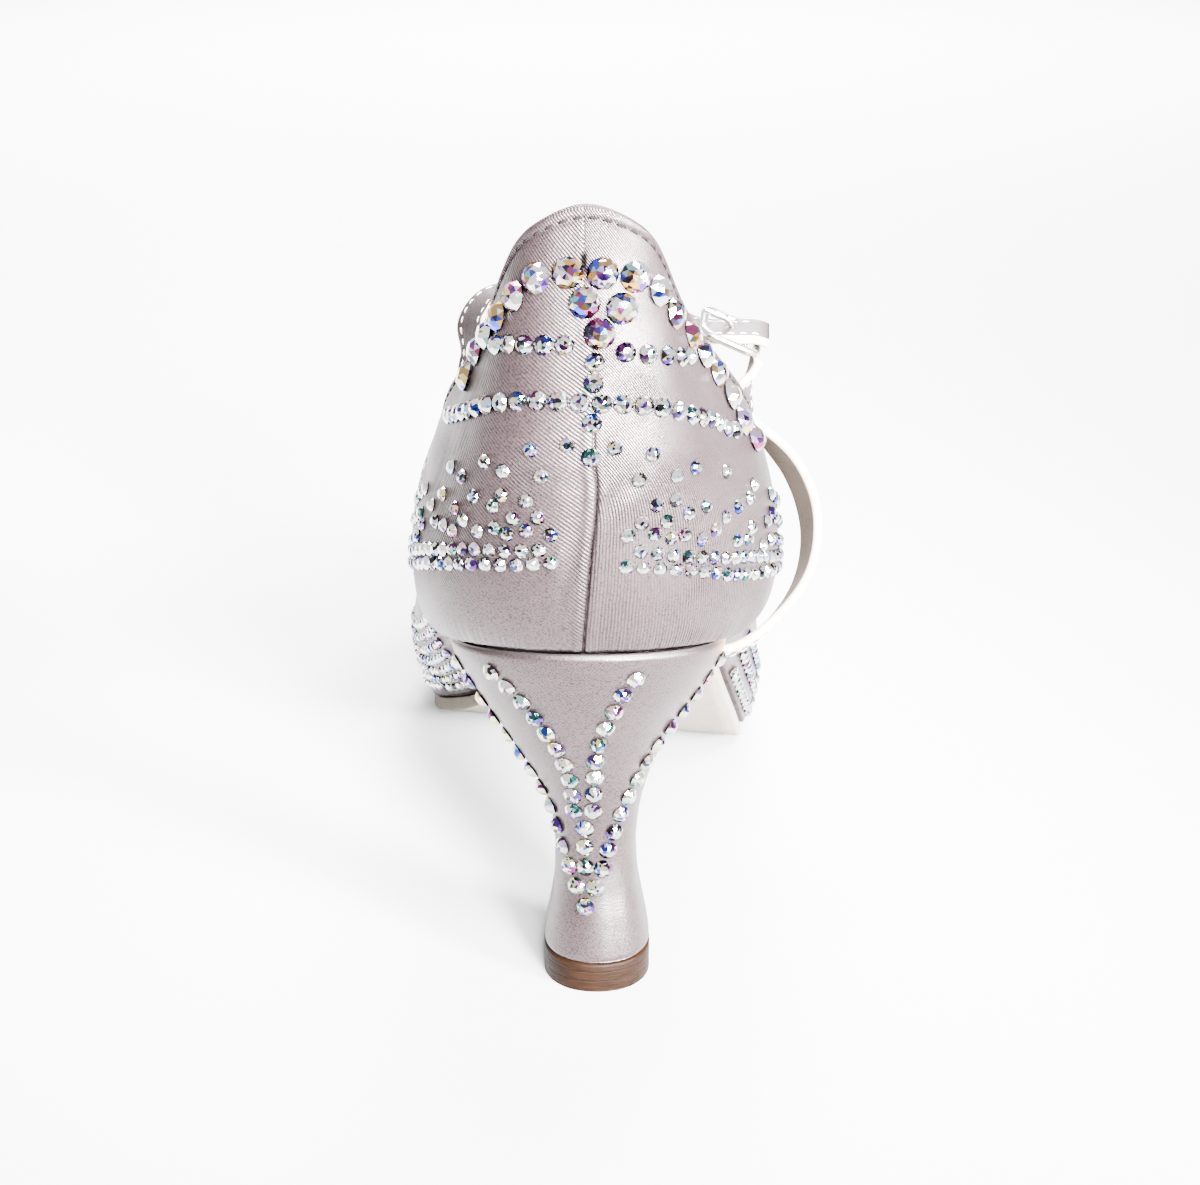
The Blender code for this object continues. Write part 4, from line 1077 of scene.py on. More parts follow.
def crystals(name, spots, sides, seed, kind, replaced=()):
    """Joined crystals; a spot holds its middle, outward direction and diameter."""
    shape, facets = crystal_shape(sides)
    dice = random.Random(seed)
    points = []
    faces = []
    colours = []
    for number, (middle, out, diameter) in enumerate(spots):
        middle = np.asarray(middle)
        out = unit(np.asarray(out))
        across = unit(np.cross((0.0, 0.0, 1.0), out))
        up = np.cross(out, across)
        spin = dice.random() * 2.0 * math.pi
        lean = (dice.uniform(-0.05, 0.05), dice.uniform(-0.05, 0.05))
        x, y, z = (shape * diameter).T
        flat_x = x * math.cos(spin) - y * math.sin(spin)
        flat_y = x * math.sin(spin) + y * math.cos(spin)
        lift = z + 0.03 * MM + flat_x * lean[0] + flat_y * lean[1]
        points.append(middle + flat_x[:, None] * across + flat_y[:, None] * up
                      + lift[:, None] * out)
        base = number * len(shape)
        crown = wedge_reflections(dice, kind, sides)
        table = wedge_reflections(dice, kind, sides)
        if kind != "large" and dice.random() < ROLLS[kind][2]:
            table = [dice.choice(PALE)] * sides
        # Each facet's colour is a painted reflection; table and crown follow the wedge runs and
        # some facets get a stray painted flash.
        for index, facet in enumerate(facets):
            faces.append([base + k for k in facet])
            wedge, place = divmod(index, 6)
            # The girdle facets are near-black: painted shadow round the crystal's edge.
            if place == 0:
                shade = DEEP[0]
            elif place == 5:
                shade = table[wedge]
            elif dice.random() < 0.22:
                shade = dice.choice(PALE + BRIGHT if kind != "large" else VIVID)
            else:
                shade = crown[wedge]
            colours.extend([(*shade, 1.0)] * len(facet))
    piece = make_piece(name, np.vstack(points), faces, [look("cut_crystal")],
                       replaced=replaced, smooth=False)
    layer = piece.data.color_attributes.new("facet", "FLOAT_COLOR", "CORNER")
    layer.data.foreach_set("color", np.array(colours, dtype=np.float32).ravel())
    return piece


def spots_on(face, out, places, diameter):
    """Crystal spots at places on a face of the shoe."""
    places = np.asarray(places)
    middles = face(places[:, 0], places[:, 1])
    outs = out(places[:, 0], places[:, 1])
    return [(middle, way, diameter) for middle, way in zip(middles, outs)]


def apart(spots, least):
    """Spots left after dropping those nearer than a share of their width to an earlier one."""
    chosen = []
    for spot in spots:
        near = any(np.linalg.norm(spot[0] - other[0]) < least * 0.5 * (spot[2] + other[2])
                   for other in chosen)
        if not near:
            chosen.append(spot)
    return chosen


# ---- sizes and colours ----------------------------------------------------------------------

def colour_of(name, about, default):
    """Property of a colour."""
    return bpy.props.FloatVectorProperty(name=name, description=about, subtype="COLOR", size=3,
                                         default=default, min=0.0, max=1.0)


def length_of(name, about, default, low, high):
    """Property of a length given in millimetres."""
    return bpy.props.FloatProperty(name=name, description=about, default=default * MM,
                                   min=low * MM, max=high * MM, unit="LENGTH", precision=5)


class ShoeLooks(bpy.types.PropertyGroup):
    """Colours and small sizes of the shoe's finish."""

    satin: colour_of("Satin", "Colour of the satin", (0.0056, 0.0031, 0.0034))
    suede: colour_of("Sole suede", "Colour of the suede sole", (0.110, 0.092, 0.073))
    lining: colour_of("Lining", "Colour of the lining leather", (0.20, 0.155, 0.115))
    strap_lining: colour_of(
        "Strap lining", "Colour of the suede inside the strap", (0.060, 0.040, 0.025))
    piping: colour_of("Piping", "Colour of the strap's pale edge", (0.27, 0.225, 0.175))
    topline_thread: colour_of(
        "Topline thread", "Colour of the stitches along the topline", (0.006, 0.004, 0.005))
    seam_thread: colour_of(
        "Seam thread", "Colour of the back seam's stitches", (0.006, 0.004, 0.005))
    strap_thread: colour_of("Strap thread", "Colour of the strap's stitches", (0.45, 0.42, 0.40))
    tip_brown: colour_of("Heel tip", "Colour of the heel tip's leather", (0.0040, 0.0014, 0.0004))
    edge_brown: colour_of(
        "Rubbed edge", "Colour of the golden rubbed spot at the seat", (0.26, 0.14, 0.03))
    twill_pitch: length_of(
        "Twill pitch", "Distance between the satin's twill lines", 0.57, 0.2, 3.0)
    seam_depth: length_of("Seam depth", "Depth of the back seam's groove", 0.50, 0.0, 2.0)
    roll_height: length_of(
        "Topline roll", "How far the folded topline stands proud", 0.35, 0.0, 2.0)
    roll_width: length_of("Topline fold", "Width of the folded edge at the topline", 1.3, 0.6, 6.0)
    stitch_length: length_of("Stitch length", "Length of one stitch", 1.7, 0.5, 6.0)
    stitch_gap: length_of("Stitch gap", "Gap between two stitches", 0.75, 0.1, 4.0)
    thread_width: length_of("Thread width", "Thickness of the thread", 0.38, 0.1, 2.0)
    large_crystal: length_of("Large crystal", "Diameter of the largest crystals", 5.3, 2.0, 10.0)
    line_crystal: length_of(
        "Row crystal", "Diameter of the crystals in the counter's rows", 3.4, 1.0, 8.0)
    small_crystal: length_of("Small crystal", "Diameter of the scattered crystals", 2.6, 1.0, 6.0)
    heel_crystal: length_of("Heel crystal", "Diameter of the crystals on the heel", 3.5, 1.0, 6.0)
    floor: colour_of("Floor", "Colour of the studio floor", (0.28, 0.28, 0.28))


# ---- upper ----------------------------------------------------------------------------------

UPPER_COLUMNS = 640
WALL_ROWS = 84
ROLL_ROWS = 8
INNER_ROWS = 30
WAY_ROUND = 450.0 * MM


def signed_turns(count, pull):
    """Turns from -0.5 to 0.5, closer together near the back seam."""
    s = np.arange(count) / count - 0.5
    return s - pull * np.sin(2.0 * math.pi * s) / (2.0 * math.pi)


def crease_depth(u, t, points):
    """Depth of the soft creases at places on the wall."""
    depth = np.zeros(u.shape)
    for turn_a, height_a, turn_b, height_b, width, deep in CREASES:
        a = wall(turn_a, height_a)
        b = wall(turn_b, height_b)
        way = b - a
        share = np.clip(np.sum((points - a) * way, axis=-1) / way.dot(way), 0.0, 1.0)
        away = np.linalg.norm(points - (a + share[..., None] * way), axis=-1)
        taper = np.sin(math.pi * np.clip(share, 0.04, 0.96)) ** 0.7
        trough = np.exp(-(away / (0.5 * width * MM)) ** 2)
        ridge = np.exp(-((away - 0.9 * width * MM) / (0.45 * width * MM)) ** 2)
        depth += (trough - 0.35 * ridge) * taper * deep * MM
    return depth


def relief_out(u, t, points, climb, total, looks):
    """How far the satin stands out from the plain wall."""
    from_seam = np.abs(u - SEAM_LINE(t)) * WAY_ROUND
    groove = np.exp(-(from_seam / (0.24 * MM)) ** 2)
    lips = np.exp(-((from_seam - 1.15 * MM) / (0.8 * MM)) ** 2)
    shown = 1.0 - 0.8 * ease(0.50, 0.62, t)
    out = (0.22 * MM * lips - looks.seam_depth * groove) * shown
    from_top = total - climb
    roll = 1.0 - ease(0.55 * looks.roll_width, 0.95 * looks.roll_width, from_top)
    dip = np.exp(-((from_top - looks.roll_width) / (0.45 * MM)) ** 2)
    out += looks.roll_height * roll - 0.16 * MM * dip
    out -= 0.75 * MM * np.exp(-(climb / (0.8 * MM)) ** 2) * (1.0 - ease(0.10, 0.16, np.abs(u)))
    pucker = np.sin(u * 1900.0 + 3.0 * np.sin(u * 430.0)) * np.sin(u * 733.0)
    out += 0.11 * MM * pucker * np.exp(-(climb / (5.0 * MM)) ** 2)
    wave = np.sin(u * 61.0 + 2.0 * t) * np.sin(5.0 * t + u * 23.0)
    out += 0.12 * MM * wave * ease(0.0, 0.2, t) * (1.0 - ease(0.8, 1.0, t))
    return out - crease_depth(u, t, points)


def twill_places(u, climb, around):
    """Coordinates across the twill lines, whose slant changes at the back seam."""
    above = climb - 31.0 * MM
    outer = around + 0.475 * (above + np.hypot(above, 5.0 * MM))
    inner = 0.61 * around + 0.79 * climb
    return np.where(u >= 0.0, outer, inner)


def wall_height(turns):
    """Length of the wall from feather line to topline."""
    points = wall(np.asarray(turns)[None, :], np.linspace(0.0, 1.0, 25)[:, None])
    return np.sum(np.linalg.norm(np.diff(points, axis=0), axis=2), axis=0)


def top_share(turns):
    """Share of the wall's height where the folded edge starts to roll over."""
    return 1.0 - 0.9 * MM / wall_height(turns)


class SHOE_OT_upper(bpy.types.Operator):
    """Hollow satin upper with its back seam, folded topline, creases and leather lining"""

    bl_idname = "shoe.upper"
    bl_label = "Upper"

    def execute(self, context):
        looks = context.scene.shoe_looks
        s = signed_turns(UPPER_COLUMNS, 0.80)
        k = np.linspace(0.0, 1.0, WALL_ROWS)
        t = (k - 0.62 * np.sin(2.0 * math.pi * k) / (2.0 * math.pi))[:, None]
        t = t * top_share(s)[None, :]
        near = np.exp(-(s / 0.02) ** 2)[None, :]
        u = s[None, :] + SEAM_LINE(t) * near
        points = wall(u, t)
        outs = wall_out(u, t)
        climb = np.vstack((np.zeros((1, UPPER_COLUMNS)), np.cumsum(
            np.linalg.norm(np.diff(points, axis=0), axis=2), axis=0)))
        total = climb[-1:, :]
        stand = relief_out(u, t, points, climb, total, looks)
        outer = points + outs * stand[..., None]

        rows = []
        for inset in (LASTING_MARGIN, 0.5 * LASTING_MARGIN):
            x, y = feather(u[0], inset)
            rows.append(sole_points(x, y, np.full(x.shape, SEAM_GAP)))
        rows.extend(outer)
        top = outer[-1]
        out = outs[-1]
        up = unit(points[-1] - points[-3])
        radius = 0.5 * (UPPER_WALL + looks.roll_height)
        for k in range(1, ROLL_ROWS):
            angle = math.pi * k / ROLL_ROWS
            rows.append(top + out * (radius * (math.cos(angle) - 1.0))
                        + up * (radius * math.sin(angle)))
        folded = 0
        for share in np.linspace(1.0, 0.0, INNER_ROWS):
            v = share * top_share(s)
            ut = s + SEAM_LINE(v) * near[0]
            face = wall(ut, v)
            way = wall_out(ut, v)
            dips = -0.15 * MM * math.exp(-((1.0 - share) * 60.0 - 3.2) ** 2)
            rows.append(face - way * (UPPER_WALL + dips))
            if share > 0.955:
                folded = len(rows) - 1
        for inset in (0.5 * LASTING_MARGIN, LASTING_MARGIN):
            x, y = feather(s, inset)
            rows.append(sole_points(x, y, np.full(x.shape, SEAM_GAP + UPPER_WALL)))
        rows.append(rows[0])
        grid = np.array(rows)
        count = len(grid) - 1
        faces = grid_faces(len(grid), UPPER_COLUMNS, True) % (count * UPPER_COLUMNS)
        row = np.arange(len(faces)) // UPPER_COLUMNS
        finish = np.where(row < folded, 0, 1)
        piece = make_piece("upper_shell", grid[:-1], faces,
                           [look("upper_satin"), look("lining_leather")],
                           replaced=["upper"], face_finish=finish)
        face_out(piece)

        first = 2
        # Seam mask, painted into the satin as darkening; what each part stands for is given below.
        seam = np.zeros((count, UPPER_COLUMNS))
        from_seam = np.abs(u - SEAM_LINE(t)) * WAY_ROUND
        # Painted shade in the slit at the top of the tab.
        slit = ease(0.862, 0.872, t) * (1.0 - ease(0.900, 0.912, t))
        sewn = 1.0 - 0.98 * ease(0.44, 0.56, t)
        # Dark back seam line along its groove: partly the joint, partly painted shade.
        dark = np.exp(-(from_seam / (0.19 * MM)) ** 2) * np.maximum(sewn, slit)
        dark = np.maximum(dark, slit * np.exp(-(from_seam / (0.75 * MM)) ** 4))
        # Painted shade along the dip under the folded topline.
        line = np.exp(-((total - climb - looks.roll_width) / (0.22 * MM)) ** 2)
        # Painted shade in a band at the feather line, where the upper meets the sole and heel.
        low = np.exp(-(climb / (0.7 * MM)) ** 2) * 0.75
        seam[first:first + WALL_ROWS] = np.maximum(np.maximum(dark, 0.30 * line), low)
        # Twill mask: how strongly the painted twill highlight and shade show; weaker low on the
        # inner back and towards the sides.
        twill = np.full((count, UPPER_COLUMNS), 0.8)
        smooth = (1.0 - ease(0.24, 0.42, t)) * ease(0.002, 0.010, -u)
        side = ease(0.10, 0.16, np.abs(u))
        twill[first:first + WALL_ROWS] = (1.0 - 0.9 * smooth) * (1.0 - 0.6 * side)
        set_mask(piece, "twill", twill)
        set_mask(piece, "seam", seam)
        wear = np.zeros(seam.shape)
        wear[first:first + WALL_ROWS] = bell(u - 0.098, 0.011) * (1.0 - ease(0.03, 0.06, t))
        set_mask(piece, "wear", wear)

        middle = wall(s, np.full(s.shape, 0.45))
        middle = np.vstack((middle, middle[:1]))
        around = run_along(middle)
        around -= around[UPPER_COLUMNS // 2]
        rise = np.zeros((count, UPPER_COLUMNS + 1))
        rise[first:first + WALL_ROWS, :-1] = climb
        rise[first:first + WALL_ROWS, -1] = climb[:, 0]
        extra = np.linspace(0.0, 3.0 * MM, ROLL_ROWS - 1)[:, None]
        rise[first + WALL_ROWS:first + WALL_ROWS + ROLL_ROWS - 1] = (
            rise[first + WALL_ROWS - 1] + extra)
        edge = first + WALL_ROWS + ROLL_ROWS - 1
        rise[edge:] = rise[edge - 1] + np.linspace(0.0, 60.0 * MM, count - edge)[:, None]
        loops = np.empty(len(piece.data.loops), dtype=np.int32)
        piece.data.loops.foreach_get("vertex_index", loops)
        row = loops // UPPER_COLUMNS
        col = loops % UPPER_COLUMNS
        face = np.repeat(np.arange(len(piece.data.polygons)), 4) % UPPER_COLUMNS
        col = np.where((face == UPPER_COLUMNS - 1) & (col == 0), UPPER_COLUMNS, col)
        signed = np.where(face >= UPPER_COLUMNS // 2, 1.0, -1.0)
        level = rise[row, col]
        set_cloth(piece, np.stack((twill_places(signed, level, around[col]), level), axis=1))
        return {"FINISHED"}


class SHOE_OT_stitches(bpy.types.Operator):
    """Stitches along the topline and down the back seam"""

    bl_idname = "shoe.stitches"
    bl_label = "Upper stitches"

    def execute(self, context):
        looks = context.scene.shoe_looks
        s = np.append(signed_turns(900, 0.4), 0.5)
        high = top_share(s) - looks.roll_width / wall_height(s)
        places = wall(s, high)
        outs = wall_out(s, high)
        stitch_run("topline_stitches", places - outs * (0.05 * MM), outs, looks.stitch_length,
                   looks.stitch_gap, 1.25 * looks.thread_width, look("topline_thread"))
        heights = np.linspace(0.015, 0.33, 200)
        turns = SEAM_LINE(heights)
        places = wall(turns, heights)
        outs = wall_out(turns, heights)
        stitch_run("back_seam_stitches", places - outs * (0.80 * looks.seam_depth), outs,
                   1.1 * looks.stitch_length, 1.2 * looks.stitch_gap,
                   0.9 * looks.thread_width, look("seam_thread"))
        return {"FINISHED"}


# ---- sole and insole ------------------------------------------------------------------------

def place_turn(place, inset, side):
    """Turn where the feather line on one side passes a place along the shoe."""
    low = 0.02
    high = 0.4
    for _ in range(50):
        mid = 0.5 * (low + high)
        if feather(side * mid, inset)[1] < place:
            low = mid
        else:
            high = mid
    return low


def sole_plate(name, inset, low, high, corner, back, finish, replaced, crown=0.0):
    """Curved plate between two distances from the sole top, with eased edges."""
    along = 200
    across = 20
    start = (0.0025, 0.0025) if back is None else (place_turn(back, inset, 1.0),
                                                   place_turn(back, inset, -1.0))
    share = np.linspace(0.0, 1.0, along)
    outer = np.stack(feather(start[0] + (0.498 - start[0]) * share, inset), axis=1)
    inner = np.stack(feather(-(start[1] + (0.498 - start[1]) * share), inset), axis=1)
    way = unit(outer - inner)
    width = np.linalg.norm(outer - inner, axis=1)
    r = np.minimum(corner, 0.4 * width)
    loop = []

    def quarter(rail, inward, level, lift, upward):
        """Eased edge between a flat face and the side."""
        for step in range(5):
            angle = 0.5 * math.pi * step / 4.0
            flat, rise = 1.0 - math.sin(angle), 1.0 - math.cos(angle)
            if upward:
                flat, rise = rise, flat
            loop.append((rail + inward * (r * flat)[:, None], level + lift * r * rise))

    for k in np.linspace(0.0, 1.0, across):
        loop.append((outer - way * (r + (width - 2.0 * r) * k)[:, None], np.full(along, low)))
    quarter(inner, way, low, 1.0, False)
    quarter(inner, way, high, -1.0, True)
    for k in np.linspace(0.0, 1.0, across):
        bulge = crown * (1.0 - (2.0 * k - 1.0) ** 4)
        loop.append((inner + way * (r + (width - 2.0 * r) * k)[:, None],
                     np.full(along, high + bulge)))
    quarter(outer, -way, high, -1.0, False)
    quarter(outer, -way, low, 1.0, True)
    grid = np.stack([sole_points(plan[:, 0], plan[:, 1], lift) for plan, lift in loop], axis=1)
    return face_out(make_piece(name, grid, capped(along, grid.shape[1]), [finish],
                               replaced=replaced))


class SHOE_OT_sole(bpy.types.Operator):
    """Suede outsole and the leather sock on the insole"""

    bl_idname = "shoe.sole"
    bl_label = "Sole"

    def execute(self, context):
        sole_plate("outsole_suede", OUTSOLE_INSET, -OUTSOLE_THICKNESS, 0.0, 0.45 * MM,
                   BREAST_PLACE + SEAM_GAP, look("sole_suede"), ["outsole"])
        low = UPPER_WALL + 2.0 * SEAM_GAP
        sole_plate("insole_sock", INSOLE_INSET, low, low + INSOLE_THICKNESS, 0.9 * MM, None,
                   look("lining_leather"), ["insole"], crown=0.5 * MM)
        return {"FINISHED"}


# ---- heel -----------------------------------------------------------------------------------

class SHOE_OT_heel(bpy.types.Operator):
    """Flared heel block covered with satin"""

    bl_idname = "shoe.heel"
    bl_label = "Heel"

    def execute(self, context):
        rows = 110
        columns = 144
        down = np.linspace(0.0, 1.0, rows)
        down = (down - 0.3 * np.sin(2.0 * math.pi * down) / (2.0 * math.pi))[:, None]
        degrees = (np.arange(columns) / columns * 360.0 - 180.0)[None, :]
        grid = heel_face(down, degrees)
        middle = grid.mean(axis=1, keepdims=True)
        edge = 1.0 - 0.030 * bell(down, 0.008) - 0.035 * bell(1.0 - down, 0.006)
        folds = 1.0 + 0.006 * np.sin(np.radians(degrees) * 7.0 + 9.0 * down) * np.exp(
            -((down - 0.55) / 0.22) ** 2)
        flat = lay(1.0, 1.0, 0.0) * (edge * folds - 1.0)[..., None]
        grid = grid + (grid - middle) * flat
        climb = np.cumsum(np.linalg.norm(np.diff(grid, axis=0, prepend=grid[:1]), axis=2), axis=0)
        faces = capped(rows, columns, turned=True)
        piece = face_out(make_piece("heel_cover", grid, faces, [look("heel_satin")],
                                    replaced=["heel"]))
        around = np.radians(degrees) * 0.5 * SEAT_WIDTH * HEEL_LINES["half_width"](down) * 2.0
        cloth = np.stack((around + 0.8 * climb, climb), axis=-1).reshape(-1, 2)
        set_cloth(piece, corner_values(piece, cloth))
        # Painted shade in a band at the top of the heel cover, where it meets the upper; it goes in
        # through the seam mask.
        painted_join_shade = np.exp(-(down / 0.010) ** 2) * 0.55 * np.ones_like(degrees)
        set_mask(piece, "seam", painted_join_shade)
        set_mask(piece, "twill", 1.0 - 0.6 * ease(0.1, 0.3, down) * np.ones_like(degrees))
        rubbed = np.exp(-((degrees - 88.0) / 13.0) ** 2) * (1.0 - ease(0.035, 0.055, down))
        set_mask(piece, "wear", rubbed)
        return {"FINISHED"}


class SHOE_OT_heel_tip(bpy.types.Operator):
    """Leather top piece under the heel"""

    bl_idname = "shoe.heel_tip"
    bl_label = "Heel tip"

    def execute(self, context):
        columns = 144
        degrees = np.arange(columns) / columns * 360.0 - 180.0
        plan = heel_face(np.ones(columns), degrees)[:, :2]
        low, high = plan.min(axis=0), plan.max(axis=0)
        size = np.array((HEEL_TIP_WIDTH, HEEL_TIP_DEPTH)) / (high - low)
        middle = np.array((0.0, HEEL_BACK_AT_TIP + 0.5 * HEEL_TIP_DEPTH))
        plan = (plan - 0.5 * (low + high)) * size
        steps = ((0.0, 0.955), (0.0, 0.985), (0.12, 0.996), (0.35, 1.0), (2.0, 0.997), (3.9, 1.0),
                 (5.3, 1.0), (5.6, 0.994), (5.8, 0.97))
        grid = np.array([np.column_stack((plan * share + middle, np.full(columns, level * MM)))
                         for level, share in steps])
        faces = capped(len(steps), columns)
        face_out(make_piece("heel_top_piece", grid, faces, [look("tip_leather")],
                            replaced=["heel_tip"]))
        return {"FINISHED"}


# ---- strap and buckle -----------------------------------------------------------------------

STRAP_EDGE = 0.75 * MM
STITCH_PLACE = 0.72
HOLE_FROM_END = 7.6 * MM


class SHOE_OT_strap(bpy.types.Operator):
    """Loose arch strap: satin outside, suede inside, pale edges, two rows of stitches"""

    bl_idname = "shoe.strap"
    bl_label = "Arch strap"

    def execute(self, context):
        looks = context.scene.shoe_looks
        total = strap_frames(None)
        places = np.linspace(0.0, total, 560)
        middle, wide, out = strap_frames(places)
        flat = 0.5 * STRAP_WIDTH - STRAP_EDGE
        thick = 0.5 * STRAP_THICKNESS
        angles = [math.pi * k / 8.0 for k in range(1, 8)]
        outline = []
        for k in np.linspace(-1.0, 1.0, 13):
            groove = 0.10 * MM * math.exp(-((abs(k) - STITCH_PLACE) / 0.07) ** 2)
            outline.append((k * flat, thick - groove + 0.04 * MM))
        outline += [(flat + STRAP_EDGE * math.sin(a), thick * math.cos(a)) for a in angles]
        outline += [(k * flat, -thick) for k in np.linspace(1.0, -1.0, 9)]
        outline += [(-flat - STRAP_EDGE * math.sin(a), -thick * math.cos(a)) for a in angles]
        outline = np.array(outline)
        kinds = np.array([0] * 13 + [2] * 7 + [1] * 9 + [2] * 7)
        grid = (middle[:, None, :] + wide[:, None, :] * outline[None, :, :1]
                + out[:, None, :] * outline[None, :, 1:])
        faces = capped(len(places), len(outline))
        finish = np.tile(np.where(kinds == np.roll(kinds, -1), kinds, 2), len(places) - 1)
        finish = np.append(finish, (2, 2))
        piece = face_out(make_piece(
            "arch_strap_band", grid, faces,
            [look("strap_satin"), look("strap_lining"), look("cut_edge")],
            replaced=["arch_strap"], face_finish=finish))
        cloth = np.stack((places[:, None] + 0.8 * outline[None, :, 0],
                          outline[None, :, 0] + 0.0 * places[:, None]), axis=-1).reshape(-1, 2)
        set_cloth(piece, corner_values(piece, cloth))
        for mask, level in (("seam", 0.0), ("wear", 0.0), ("twill", 0.6)):
            set_mask(piece, mask, np.full(len(places) * len(outline), level))
        for name, side in (("front", 1.0), ("back", -1.0)):
            line = middle + wide * (side * STITCH_PLACE * flat) + out * thick
            stitch_run(f"strap_stitches_{name}", line[4:-4], out[4:-4], looks.stitch_length,
                       looks.stitch_gap, 0.9 * looks.thread_width, look("strap_thread"))
        return {"FINISHED"}


def swept_bar(name, places, sides, radius_of, normals, finish, replaced, closed):
    """Round bar along points."""
    places = np.asarray(places)
    if closed:
        tangent = unit(np.roll(places, -1, axis=0) - np.roll(places, 1, axis=0))
    else:
        tangent = unit(np.gradient(places, axis=0))
    normals = unit(normals - tangent * np.sum(normals * tangent, axis=1, keepdims=True))
    side = np.cross(tangent, normals)
    rings = []
    for k in range(sides):
        angle = 2.0 * math.pi * k / sides
        rings.append(places + (normals * math.cos(angle) + side * math.sin(angle)) * radius_of)
    grid = np.stack(rings, axis=1)
    if closed:
        faces = grid_faces(len(grid) + 1, sides, True) % (len(grid) * sides)
    else:
        faces = capped(len(grid), sides)
    return face_out(make_piece(name, grid, faces, [finish], replaced=replaced))


class SHOE_OT_buckle(bpy.types.Operator):
    """Silver buckle frame with its prong through the strap"""

    bl_idname = "shoe.buckle"
    bl_label = "Buckle"

    def execute(self, context):
        middle, long_way, wide, out = buckle_axes()
        corner = 0.20 * BUCKLE_LENGTH
        reach_long = 0.5 * BUCKLE_LENGTH - corner - 0.5 * BUCKLE_BAR
        reach_wide = 0.5 * BUCKLE_WIDTH - corner - 0.5 * BUCKLE_BAR
        corner_places = []
        for quarter, (a, b) in enumerate(((1, 1), (-1, 1), (-1, -1), (1, -1))):
            for step in range(10):
                angle = 0.5 * math.pi * (quarter + step / 9.0)
                corner_places.append(middle + long_way * (a * reach_long + corner * math.cos(angle))
                                     + wide * (b * reach_wide + corner * math.sin(angle)))
        places = np.array(corner_places)
        normals = np.tile(out, (len(places), 1))
        swept_bar("buckle_ring", places, 14, 0.5 * BUCKLE_BAR, normals, look("polished_metal"),
                  ["buckle_frame"], True)
        rows = np.array([middle + long_way * (a * BUCKLE_LENGTH) + out * (b * BUCKLE_LENGTH)
                         for a, b in PRONG_THROUGH])
        steps = run_along(rows)
        marks = np.linspace(0.0, steps[-1], 40)
        line = Path(steps, rows)(marks)
        radius = 0.5 * PRONG_BAR * (1.0 - 0.35 * ease(0.85, 1.0, marks / steps[-1]))[:, None]
        swept_bar("buckle_pin", line, 12, radius, np.tile(wide, (40, 1)), look("polished_metal"),
                  ["buckle_prong"], False)
        # A dark cup on the strap's face stands in for the prong's hole: painted shade, the strap
        # itself is not cut.
        total = strap_frames(None)
        hub, across, face = strap_frames(np.array([total - HOLE_FROM_END]))
        tangent = np.cross(across, face)[0]
        ring = []
        for level, share in ((0.06, 1.0), (0.02, 0.72), (-0.5, 0.66)):
            for k in range(20):
                angle = 2.0 * math.pi * k / 20.0
                spoke = across[0] * math.cos(angle) + tangent * math.sin(angle)
                ring.append(hub[0] + spoke * (0.5 * STRAP_HOLE * share)
                            + face[0] * (0.5 * STRAP_THICKNESS + level * MM))
        faces = grid_faces(3, 20, True).tolist()
        faces.append([40 + k for k in range(20)])
        make_piece("strap_hole", ring, faces, [look("hole_shadow")])
        return {"FINISHED"}


# ---- crystals -------------------------------------------------------------------------------

class SHOE_OT_counter_crystals(bpy.types.Operator):
    """Large crystals, rows and scattered crystals on the counter"""

    bl_idname = "shoe.counter_crystals"
    bl_label = "Counter crystals"

    def execute(self, context):
        looks = context.scene.shoe_looks
        large = spots_on(wall, wall_out, LARGE_CRYSTALS, looks.large_crystal)
        names = [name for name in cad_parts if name.startswith("crystal_")]
        crystals("crystals_large", large, 11, 11, "large", replaced=names)
        rows = []
        for places in LINE_ROWS:
            rows += spots_on(wall, wall_out, row_places(places, 1.04 * looks.line_crystal, wall),
                             looks.line_crystal)
        rows = apart(large + rows, 0.86)[len(large):]
        crystals("crystals_rows", rows, 12, 23, "row")
        small = []
        for places in SMALL_ROWS:
            small += spots_on(wall, wall_out, row_places(places, 1.17 * looks.small_crystal, wall),
                              looks.small_crystal)
        small += spots_on(wall, wall_out, SCATTERED, looks.small_crystal)
        small = apart(large + rows + small, 0.84)[len(large) + len(rows):]
        crystals("crystals_scattered", small, 10, 37, "small")
        return {"FINISHED"}


class SHOE_OT_side_crystals(bpy.types.Operator):
    """Fields of small crystals on the quarters and vamp, thinning out forward"""

    bl_idname = "shoe.side_crystals"
    bl_label = "Side crystals"

    def execute(self, context):
        looks = context.scene.shoe_looks
        dice = random.Random(5)
        spots = []
        for start, end, low, high, rows in FIELDS:
            for row in range(rows):
                level = row / (rows - 1.0)
                height = low + (high - low) * level
                reach = end + (start - end) * (0.10 + 0.35 * level)
                line = [(start + (reach - start) * k, height) for k in np.linspace(0, 1, 9)]
                for index, place in enumerate(row_places(line, 1.14 * looks.small_crystal, wall)):
                    gone = abs(place[0] - start) / abs(end - start)
                    if dice.random() < max(gone * 1.25 - 0.45, 0.0):
                        continue
                    shift = dice.uniform(-0.3, 0.3) * max(gone - 0.3, 0.0) * 0.03
                    spot = np.array([(place[0] + 0.3 * shift, place[1] + shift * 2.0)])
                    spots += spots_on(wall, wall_out, spot, looks.small_crystal)
        crystals("crystals_sides", apart(spots, 0.98), 10, 41, "small")
        return {"FINISHED"}


